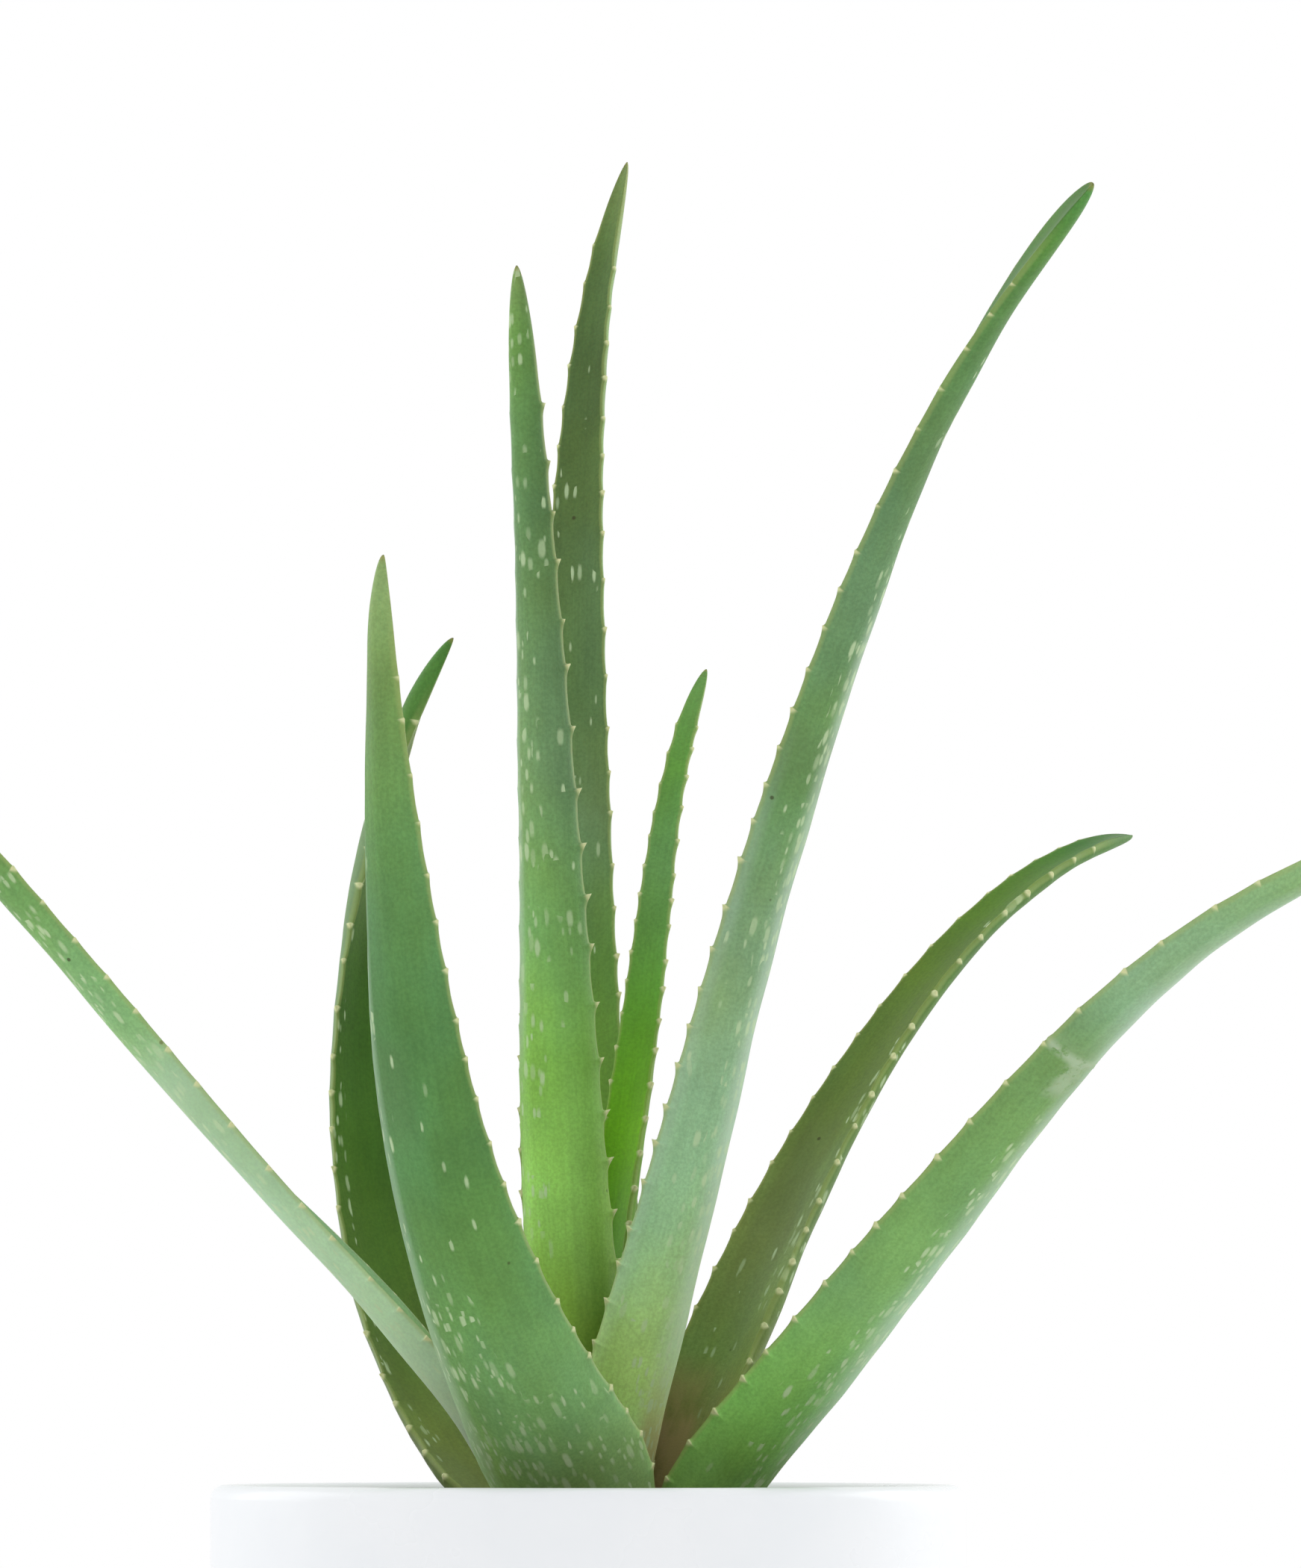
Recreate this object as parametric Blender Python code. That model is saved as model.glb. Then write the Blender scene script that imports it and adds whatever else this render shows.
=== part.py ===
"""Potted aloe: a rosette of nine fleshy leaves on a short stem, in a plain white pot.

Lengths are in metres and +Z is up. The origin is the middle of the pot's flat bottom,
and the front of the plant faces -Y.
"""

import math
from dataclasses import dataclass
from typing import List, Sequence, Tuple

import bpy
import numpy as np

MM = 0.001

# Clearance between every two pieces that touch
GAP = 0.3 * MM

# Pot
POT_RADIUS = 80 * MM
POT_HEIGHT = 145 * MM
POT_WALL = 6 * MM
POT_FLOOR = 8 * MM
FOOT_ROUND = 2 * MM
INSIDE_ROUND = 5 * MM
ROUND_SEGMENTS = 80

# Potting soil
SOIL_BELOW_RIM = 22 * MM
SOIL_EDGE_DROP = 1.5 * MM
SOIL_LEVEL_RADIUS = 55 * MM

# Stem: a crown plate that carries the leaves, over a tapering stub
CROWN_OFFSET_X = 4 * MM
PLATE_RADIUS = 29 * MM
PLATE_THICKNESS = 6 * MM
PLATE_UNDERSIDE_BEVEL = 2 * MM
NECK_HEIGHT = 8 * MM
NECK_RADIUS = 13 * MM
STUB_RADIUS = 11 * MM
STUB_END_RADIUS = 5 * MM
STUB_END_ROUND = 8 * MM
STUB_LENGTH = 52 * MM
STEM_SEGMENTS = 40
CUTTER_OVERRUN = 10 * MM

# Rosette: one factor sizes every leaf and its seat on the crown plate
ROSETTE_SCALE = 1.0

# Leaf shape shared by all leaves
NECK_SHARE = 0.15
THICKNESS_LEFT_AT_TIP = 0.4
THICKNESS_AT_SEAT = 0.6
THICKNESS_TO_WIDTH = 0.85
INNER_BULGE = 0.6 * MM
INNER_BULGE_WIDTH = 6 * MM
TIP_ROUND_SHARE = 0.08
BEND_NEAR_SEAT = 0.7
WIDEST_WRAP = 100.0
LEAF_STATIONS = 25
LEAF_SIDES = 16
SPINE_STEPS = 240

Angles = Tuple[float, ...]


@dataclass(frozen=True)
class Leaf:
    """One leaf: millimetres and degrees, listed from the seat to the tip.

    seat: direction and distance from the crown's middle to the leaf's inner face.
    beside: leaf whose seat this one is laid next to; the seat's direction is then counted
        from where the edges of the two seats would meet.
    lean: tilt from upright, starting from upright at the seat.
    heading: compass direction of the lean, starting from the seat's direction.
    twist: turn about the leaf's own length, starting from none.
    wrap: half the arc that the inner face is hollowed to, after the seat.
    """

    name: str
    seat: Tuple[float, float]
    length: float
    width: float
    thickness: float
    neck: float
    width_at_tip: float
    lean: Angles
    heading: Angles
    twist: Angles
    wrap: Angles
    green: Tuple[float, float, float]
    beside: str = ""


LEAVES = (
    Leaf(name="leaf_front_left", seat=(256, 22.5), length=232, width=46.0,
         thickness=8.0, neck=0.75, width_at_tip=0.1, lean=(47.5, 28.5, 8, 0),
         heading=(246, 233, 230, 196), twist=(3, -9), wrap=(38, 25, 35), green=(0.15, 0.28, 0.11)),
    Leaf(name="leaf_back_left", seat=(142, 16.5), length=233, width=33.5,
         thickness=8.5, neck=0.45, width_at_tip=0.12, lean=(51.5, 23, -4.5, -32),
         heading=(126, 138, 126, 158), twist=(-27, 40), wrap=(35, 25, 35),
         green=(0.09, 0.17, 0.05)),
    Leaf(name="leaf_far_left", seat=(210, 15.5), length=222, width=25.0,
         thickness=4.5, neck=0.9, width_at_tip=0.32, lean=(32.5, 43.5, 42.5, 41),
         heading=(201, 192, 197, 190), twist=(-11, 27), wrap=(38, 25, 35),
         green=(0.26, 0.40, 0.22)),
    Leaf(name="leaf_centre_tall", seat=(236, 6.5), length=280, width=26.0,
         thickness=6.5, neck=0.6, width_at_tip=0.18, lean=(8.5, 5, 4.5, 8.5),
         heading=(236, 239, 234, 244), twist=(16, -2), wrap=(45, 25, 30), green=(0.19, 0.34, 0.12)),
    Leaf(name="leaf_back_tall", seat=(94, 7.0), length=338, width=34.5,
         thickness=6.0, neck=0.45, width_at_tip=0.11, lean=(18.5, 18, 8, 31.5),
         heading=(106, 94, 82, 65), twist=(-13, -6), wrap=(45, 25, 30), green=(0.12, 0.21, 0.10)),
    Leaf(name="leaf_young", seat=(32, 3.5), length=219, width=15.0,
         thickness=4.5, neck=0.55, width_at_tip=0.22, lean=(-6.5, 10.5, 22.5, 48.5),
         heading=(38, 47, 74, 71), twist=(8, 12), wrap=(45, 30, 30), green=(0.15, 0.30, 0.06)),
    Leaf(name="leaf_tall_right", seat=(274, 11.5), length=331, width=23.0,
         thickness=6.5, neck=0.6, width_at_tip=0.36, lean=(20, 17.5, 35.5, 62.5),
         heading=(312, 324, 302, 303), twist=(-5, 63), wrap=(42, 25, 30), green=(0.24, 0.36, 0.23)),
    Leaf(name="leaf_mid_right", seat=(28, 13.0), length=234, width=28.0,
         thickness=6.5, neck=0.85, width_at_tip=0.14, lean=(23.5, 31, 44, 85.5),
         heading=(36, 37, 31, 63), twist=(13, 9), wrap=(38, 25, 30), green=(0.13, 0.19, 0.07)),
    Leaf(name="leaf_far_right", beside="leaf_front_left", seat=(-9.35, 19.0), length=233,
         width=36.0, thickness=8.0, neck=0.8, width_at_tip=0.2, lean=(42, 47.5, 48.5, 70.5),
         heading=(326, 315, 326, 349), twist=(1, -6), wrap=(35, 25, 35), green=(0.17, 0.33, 0.11)),
)


def clear_scene() -> None:
    """Remove whatever the scene starts with."""
    for item in list(bpy.data.objects):
        bpy.data.objects.remove(item, do_unlink=True)


def material(name: str, rgb: Sequence[float], roughness: float) -> bpy.types.Material:
    """Make one Principled material."""
    made = bpy.data.materials.new(name)
    made.use_nodes = True
    shader = made.node_tree.nodes["Principled BSDF"]
    shader.inputs["Base Color"].default_value = (*rgb, 1.0)
    shader.inputs["Roughness"].default_value = roughness
    made.diffuse_color = (*rgb, 1.0)
    return made


def add_object(name: str, points: np.ndarray, faces: List[Tuple[int, ...]],
               finish: bpy.types.Material) -> bpy.types.Object:
    """Make a smooth-shaded object from points and faces."""
    mesh = bpy.data.meshes.new(name)
    mesh.from_pydata(points.tolist(), [], faces)
    mesh.materials.append(finish)
    mesh.shade_smooth()
    mesh.set_sharp_from_angle(angle=math.radians(40))
    mesh.update()
    made = bpy.data.objects.new(name, mesh)
    bpy.context.scene.collection.objects.link(made)
    return made


def turned(profile: List[Tuple[float, float]], segments: int, centre_x: float,
           ) -> Tuple[np.ndarray, List[Tuple[int, ...]]]:
    """Turn a (radius, height) profile that starts and ends on its axis."""
    inner = np.array(profile[1:-1])
    turn = np.linspace(0, 2 * np.pi, segments, endpoint=False)
    ring = np.stack([np.cos(turn), np.sin(turn)], -1)
    points = [[centre_x, 0.0, profile[0][1]]]
    for radius, height in inner:
        points += [[centre_x + radius * x, radius * y, height] for x, y in ring]
    points.append([centre_x, 0.0, profile[-1][1]])
    last = len(points) - 1
    faces = []
    for i in range(segments):
        j = (i + 1) % segments
        faces.append((0, 1 + j, 1 + i))
        for row in range(len(inner) - 1):
            a, b = 1 + row * segments, 1 + (row + 1) * segments
            faces.append((a + i, a + j, b + j, b + i))
        top = 1 + (len(inner) - 1) * segments
        faces.append((top + i, top + j, last))
    return np.array(points), faces


def arc(centre: Tuple[float, float], radius: float, start: float, end: float,
        steps: int) -> List[Tuple[float, float]]:
    """Points of an arc in a profile, with its angles in degrees."""
    angles = [math.radians(start + (end - start) * i / steps) for i in range(steps + 1)]
    return [(centre[0] + radius * math.cos(a), centre[1] + radius * math.sin(a)) for a in angles]


def pot(finish: bpy.types.Material) -> bpy.types.Object:
    """Straight-sided pot with a full-round lip and a closed floor."""
    lip = POT_WALL / 2
    inside = POT_RADIUS - POT_WALL
    profile = [(0.0, 0.0)]
    profile += arc((POT_RADIUS - FOOT_ROUND, FOOT_ROUND), FOOT_ROUND, -90, 0, 3)
    profile += arc((POT_RADIUS - lip, POT_HEIGHT - lip), lip, 0, 180, 8)
    profile += arc((inside - INSIDE_ROUND, POT_FLOOR + INSIDE_ROUND), INSIDE_ROUND, 0, -90, 3)
    profile.append((0.0, POT_FLOOR))
    points, faces = turned(profile, ROUND_SEGMENTS, 0.0)
    return add_object("pot", points, faces, finish)


def soil_top() -> float:
    """Height of the soil's surface round the crown, level with the crown plate."""
    return POT_HEIGHT - SOIL_BELOW_RIM


def stem_profile(grow: float) -> List[Tuple[float, float]]:
    """Profile of the stem, from the stub's end up to the plate's side, enlarged by `grow`."""
    scale = ROSETTE_SCALE
    top = soil_top()
    end = top - STUB_LENGTH * scale - grow
    under = top - PLATE_THICKNESS * scale - grow
    bevel = PLATE_UNDERSIDE_BEVEL * scale
    plate = PLATE_RADIUS * scale + grow
    return [
        (0.0, end),
        (STUB_END_RADIUS * scale + grow, end),
        (STUB_RADIUS * scale + grow, end + STUB_END_ROUND * scale),
        (NECK_RADIUS * scale + grow, under - NECK_HEIGHT * scale),
        (plate - bevel, under),
        (plate, under + bevel),
    ]


def stem(finish: bpy.types.Material) -> bpy.types.Object:
    """Short stem whose flat crown plate lies level with the soil."""
    profile = stem_profile(0.0) + [(PLATE_RADIUS * ROSETTE_SCALE, soil_top()), (0.0, soil_top())]
    points, faces = turned(profile, STEM_SEGMENTS, CROWN_OFFSET_X)
    return add_object("stem", points, faces, finish)


def soil(finish: bpy.types.Material) -> bpy.types.Object:
    """Potting soil that fills the pot, with an open hollow for the stem."""
    outer = POT_RADIUS - POT_WALL - GAP
    floor = POT_FLOOR + GAP
    top = soil_top()
    profile = [(0.0, floor)]
    profile += arc((outer - INSIDE_ROUND, floor + INSIDE_ROUND), INSIDE_ROUND, -90, 0, 3)
    profile += [(outer, top - SOIL_EDGE_DROP), (SOIL_LEVEL_RADIUS, top), (0.0, top)]
    points, faces = turned(profile, ROUND_SEGMENTS, 0.0)
    made = add_object("potting_soil", points, faces, finish)
    above = top + CUTTER_OVERRUN
    hollow = stem_profile(GAP) + [(PLATE_RADIUS * ROSETTE_SCALE + GAP, above), (0.0, above)]
    points, faces = turned(hollow, STEM_SEGMENTS, CROWN_OFFSET_X)
    cutter = add_object("stem_hollow", points, faces, finish)
    cutter.hide_render = True
    cutter.display_type = "WIRE"
    cut = made.modifiers.new("stem_hollow", "BOOLEAN")
    cut.operation = "DIFFERENCE"
    cut.solver = "EXACT"
    cut.object = cutter
    return made


def through(values: Sequence[float], along: np.ndarray) -> np.ndarray:
    """Smooth curve through `values`, which lie closer together near the seat."""
    held = np.asarray(values, float)
    place = np.clip(along, 0, 1) ** BEND_NEAR_SEAT * (len(held) - 1)
    low = np.minimum(place.astype(int), len(held) - 2)
    t = place - low
    slope = np.gradient(held)
    return ((2 * t ** 3 - 3 * t ** 2 + 1) * held[low] + (t ** 3 - 2 * t ** 2 + t) * slope[low]
            + (3 * t ** 2 - 2 * t ** 3) * held[low + 1] + (t ** 3 - t ** 2) * slope[low + 1])


def ease(x: np.ndarray) -> np.ndarray:
    """Smooth rise from 0 to 1."""
    x = np.clip(x, 0, 1)
    return x * x * (3 - 2 * x)


def taper(along: np.ndarray, left_at_tip: float) -> np.ndarray:
    """Straight taper to a share of the full size, rounded off over the tip."""
    rounding = np.clip((1 - along) / TIP_ROUND_SHARE, 0, 1)
    straight = left_at_tip + (1 - left_at_tip) * (1 - along)
    return straight * np.sqrt(np.maximum(1 - (1 - rounding) ** 2, 0))


def half_arc(leaf: Leaf) -> float:
    """Degrees that a leaf's seat takes up on each side of its own direction."""
    return min(math.degrees(leaf.width * leaf.neck / 2 / leaf.seat[1]), WIDEST_WRAP)


def seat_direction(leaf: Leaf) -> float:
    """Direction of a leaf's seat, laid next to its neighbour's where it has one."""
    if not leaf.beside:
        return leaf.seat[0]
    neighbour = next(other for other in LEAVES if other.name == leaf.beside)
    return neighbour.seat[0] + half_arc(neighbour) + half_arc(leaf) + leaf.seat[0]


def directions(leaf: Leaf, along: np.ndarray) -> Tuple[np.ndarray, np.ndarray, np.ndarray]:
    """Unit vectors along the leaf, across it and out of its inner face."""
    lean = np.radians(through((0.0, *leaf.lean), along))
    heading = np.radians(through((seat_direction(leaf), *leaf.heading), along))
    twist = np.radians(through((0.0, *leaf.twist), along))[:, None]
    forward = np.stack([np.sin(lean) * np.cos(heading), np.sin(lean) * np.sin(heading),
                        np.cos(lean)], -1)
    across = np.stack([-np.sin(heading), np.cos(heading), 0 * heading], -1)
    inward = np.cross(forward, across)
    return (forward, across * np.cos(twist) + inward * np.sin(twist),
            inward * np.cos(twist) - across * np.sin(twist))


def spine(leaf: Leaf, along: np.ndarray) -> np.ndarray:
    """Middle line of the leaf's inner face."""
    even = np.linspace(0, 1, SPINE_STEPS + 1)
    forward = directions(leaf, even)[0]
    step = (forward[1:] + forward[:-1]) / 2 * (leaf.length * MM * ROSETTE_SCALE / SPINE_STEPS)
    path = np.vstack([np.zeros((1, 3)), np.cumsum(step, axis=0)])
    turn = math.radians(seat_direction(leaf))
    out = leaf.seat[1] * MM * ROSETTE_SCALE
    seat = np.array([CROWN_OFFSET_X + out * math.cos(turn), out * math.sin(turn), soil_top() + GAP])
    return seat + np.stack([np.interp(along, even, path[:, k]) for k in range(3)], -1)


def section(leaf: Leaf, along: np.ndarray, round_it: np.ndarray) -> np.ndarray:
    """Crescent cross-sections as (across, inward) offsets from the spine."""
    scale = MM * ROSETTE_SCALE
    rise = ease(along / NECK_SHARE)
    width = leaf.width * scale * taper(along, leaf.width_at_tip) * (leaf.neck + (1 - leaf.neck) * rise)
    full = leaf.thickness * scale * taper(along, THICKNESS_LEFT_AT_TIP)
    full = full * (THICKNESS_AT_SEAT + (1 - THICKNESS_AT_SEAT) * rise)
    limit = THICKNESS_TO_WIDTH * width
    thick = full * limit / np.hypot(full, limit)
    wrap = np.radians(through((half_arc(leaf), *leaf.wrap), along))
    radius = (width / (2 * wrap))[:, None]
    bulge = (INNER_BULGE * np.minimum(1, width / INNER_BULGE_WIDTH))[:, None]
    angle = wrap[:, None] * np.cos(round_it)[None]
    side = np.sin(round_it)[None]
    inner = bulge * np.abs(side) ** 0.8
    outer = inner / 2 + thick[:, None] * np.abs(side) ** 1.4
    offset = np.where(side > 0, inner, -outer)
    return np.stack([(radius - offset) * np.sin(angle), radius - (radius - offset) * np.cos(angle)], -1)


def leaf_object(leaf: Leaf, finish: bpy.types.Material) -> bpy.types.Object:
    """Loft one leaf from its seat to a closed tip."""
    along = 1 - (1 - np.linspace(0, 1, LEAF_STATIONS + 1)[:-1]) ** 1.25
    round_it = np.linspace(0, 2 * np.pi, LEAF_SIDES, endpoint=False)
    _, across, inward = directions(leaf, along)
    middle = spine(leaf, along)
    offsets = section(leaf, along, round_it)
    rings = middle[:, None] + across[:, None] * offsets[..., :1] + inward[:, None] * offsets[..., 1:]
    points = np.vstack([rings.reshape(-1, 3), spine(leaf, np.array([1.0]))])
    tip = len(points) - 1
    faces = []
    for row in range(LEAF_STATIONS - 1):
        low, high = row * LEAF_SIDES, (row + 1) * LEAF_SIDES
        for i in range(LEAF_SIDES):
            j = (i + 1) % LEAF_SIDES
            faces.append((low + i, low + j, high + j, high + i))
    last = (LEAF_STATIONS - 1) * LEAF_SIDES
    faces += [(last + i, last + (i + 1) % LEAF_SIDES, tip) for i in range(LEAF_SIDES)]
    half = LEAF_SIDES // 2
    faces.append((0, LEAF_SIDES - 1, 1))
    faces += [(i, LEAF_SIDES - i, LEAF_SIDES - i - 1, i + 1) for i in range(1, half - 1)]
    faces.append((half - 1, half + 1, half))
    return add_object(leaf.name, points, faces, finish)


def main() -> None:
    """Build every piece."""
    clear_scene()
    pot(material("white_glaze", (0.86, 0.87, 0.89), 0.35))
    soil(material("potting_mix", (0.09, 0.06, 0.04), 0.95))
    stem(material("stem_bark", (0.33, 0.26, 0.15), 0.8))
    for leaf in LEAVES:
        leaf_object(leaf, material(leaf.name, leaf.green, 0.45))


main()
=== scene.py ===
"""Finished look of a potted aloe: toothed leaves, stem, potting mix and a white glazed pot."""

import logging
from dataclasses import dataclass, field
from enum import Enum
from typing import Dict, List, Optional, Sequence, Tuple, Union

import bpy
import numpy as np
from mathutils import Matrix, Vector


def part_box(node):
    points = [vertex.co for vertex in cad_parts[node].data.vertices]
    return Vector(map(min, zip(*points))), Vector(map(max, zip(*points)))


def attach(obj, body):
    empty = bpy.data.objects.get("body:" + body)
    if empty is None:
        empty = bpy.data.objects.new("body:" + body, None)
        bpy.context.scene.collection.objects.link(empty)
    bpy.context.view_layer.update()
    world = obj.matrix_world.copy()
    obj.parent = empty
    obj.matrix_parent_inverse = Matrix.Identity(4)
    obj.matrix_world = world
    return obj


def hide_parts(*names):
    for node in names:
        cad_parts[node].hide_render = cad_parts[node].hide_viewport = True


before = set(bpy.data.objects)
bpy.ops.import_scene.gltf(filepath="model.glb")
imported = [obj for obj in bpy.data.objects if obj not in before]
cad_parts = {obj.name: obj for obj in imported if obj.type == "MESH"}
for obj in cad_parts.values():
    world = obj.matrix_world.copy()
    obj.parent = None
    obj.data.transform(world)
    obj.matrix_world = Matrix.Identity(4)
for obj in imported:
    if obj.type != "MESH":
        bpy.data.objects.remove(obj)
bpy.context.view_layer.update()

MM = 0.001
ROOT = "root"
Array = np.ndarray
Stops = Tuple[Tuple[float, int], ...]
Socket = bpy.types.NodeSocket
Value = Union[float, Socket]
log = logging.getLogger("potted_aloe")


# ---------------------------------------------------------------- shared shape helpers


def ease(x: Array) -> Array:
    """Smooth step from 0 to 1 with level ends: x squared times (3 - 2x)."""
    x = np.clip(x, 0.0, 1.0)
    return x * x * (3.0 - 2.0 * x)


def window(x: Array, start: float, end: float, soft: float) -> Array:
    """Give 1 between start and end, and ease to 0 over the distance soft outside them."""
    return ease((x - start) / soft + 1.0) * ease((end - x) / soft + 1.0)


def linear(code: int) -> Array:
    """Turn a 0xRRGGBB screen colour into linear red, green and blue.

    Args:
        code: The colour as one hexadecimal number.

    Returns:
        Three linear values: the screen value raised to 2.4 above its short straight foot.
    """
    screen = np.array([code >> 16 & 255, code >> 8 & 255, code & 255]) / 255.0
    return np.where(screen <= 0.04045, screen / 12.92, ((screen + 0.055) / 1.055) ** 2.4)


def along_stops(stops: Stops, along: Array) -> Array:
    """Blend colour stops along a leaf.

    Args:
        stops: Pairs of share of the length and 0xRRGGBB colour, in order.
        along: Shares of the length.

    Returns:
        Linear colours, one row of three for each share, joined straight between stops.
    """
    places = [place for place, _ in stops]
    colours = np.array([linear(code) for _, code in stops])
    return np.stack([np.interp(along, places, colours[:, i]) for i in range(3)], -1)


def ripples(x: Array, y: Array, longest: float, waves: int, seed: int) -> Array:
    """Gentle uneven swelling: the mean of sine waves of random direction, length and phase.

    Args:
        x: First surface coordinate.
        y: Second surface coordinate, in the same unit.
        longest: Longest wavelength; the shortest is a quarter of it.
        waves: How many waves are summed.
        seed: Seed of the random choices.

    Returns:
        Heights of about -1 to 1, with the shape of x and y.
    """
    pick = np.random.default_rng(seed)
    turn = pick.uniform(0, 2 * np.pi, waves)
    rate = 2 * np.pi / (longest * pick.uniform(0.25, 1.0, waves))
    phase = pick.uniform(0, 2 * np.pi, waves)
    shift = (x[..., None] * np.cos(turn) + y[..., None] * np.sin(turn)) * rate + phase
    return np.sin(shift).sum(-1) / np.sqrt(waves)


def ring_faces(rows: int, count: int, first: int = 0) -> Array:
    """Quads between neighbouring closed rings of points: each joins i and i+1 on two rings.

    Args:
        rows: How many rings.
        count: Points in each ring.
        first: Number of the first point.

    Returns:
        Four point numbers a row, counted the same way round.
    """
    low = first + np.arange(rows - 1)[:, None] * count
    i = np.arange(count)
    j = (i + 1) % count
    return np.stack([low + i, low + j, low + count + j, low + count + i], -1).reshape(-1, 4)


def fan(centre: int, ring: Array, flip: bool = False) -> Array:
    """Triangles from one centre point to each side of a closed ring.

    Args:
        centre: The centre point's number.
        ring: Numbers of the ring's points, in order.
        flip: Whether the triangles face the other way.

    Returns:
        Three point numbers a row.
    """
    after = np.roll(ring, -1)
    middle = np.full_like(ring, centre)
    return np.stack([middle, after, ring] if flip else [middle, ring, after], -1)


def outward(points: Array) -> Array:
    """Unit normals of a grid of closed rings.

    Args:
        points: Rows of rings, shaped rows by points by 3.

    Returns:
        The cross product of the step round the ring and the step between rings, made unit.
    """
    round_step = np.roll(points, -1, 1) - np.roll(points, 1, 1)
    row_step = np.gradient(points, axis=0)
    normal = np.cross(round_step, row_step)
    return normal / np.maximum(np.linalg.norm(normal, axis=-1, keepdims=True), 1e-12)


def new_piece(name: str, points: Array, quads: Array, triangles: Optional[Array] = None,
              ) -> bpy.types.Object:
    """Make a smooth mesh object at the origin.

    Args:
        name: Name of the object and its mesh.
        points: Places in metres, one row each.
        quads: Four point numbers a row.
        triangles: Three point numbers a row.

    Returns:
        The linked object.
    """
    triangles = np.zeros((0, 3), int) if triangles is None else triangles
    corners = np.concatenate([quads.ravel(), triangles.ravel()]).astype(np.int32)
    starts = np.concatenate([np.arange(len(quads)) * 4,
                             quads.size + np.arange(len(triangles)) * 3]).astype(np.int32)
    mesh = bpy.data.meshes.new(name)
    mesh.vertices.add(len(points))
    mesh.vertices.foreach_set("co", points.astype(np.float32).ravel())
    mesh.loops.add(len(corners))
    mesh.loops.foreach_set("vertex_index", corners)
    mesh.polygons.add(len(starts))
    mesh.polygons.foreach_set("loop_start", starts)
    mesh.update(calc_edges=True)
    mesh.validate()
    mesh.shade_smooth()
    piece = bpy.data.objects.new(name, mesh)
    bpy.context.scene.collection.objects.link(piece)
    return piece


def give(piece: bpy.types.Object, name: str, values: Array) -> None:
    """Store one number, or one colour, for each point of a piece.

    Args:
        piece: Mesh object.
        name: Name of the attribute that the material reads.
        values: One value a point, or one row of three for a colour.
    """
    if values.ndim == 1:
        layer = piece.data.attributes.new(name, "FLOAT", "POINT")
        layer.data.foreach_set("value", values.astype(np.float32))
        return
    layer = piece.data.attributes.new(name, "FLOAT_COLOR", "POINT")
    full = np.concatenate([values, np.ones((len(values), 1))], 1)
    layer.data.foreach_set("color", full.astype(np.float32).ravel())


# ---------------------------------------------------------------- shared material helpers


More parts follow.
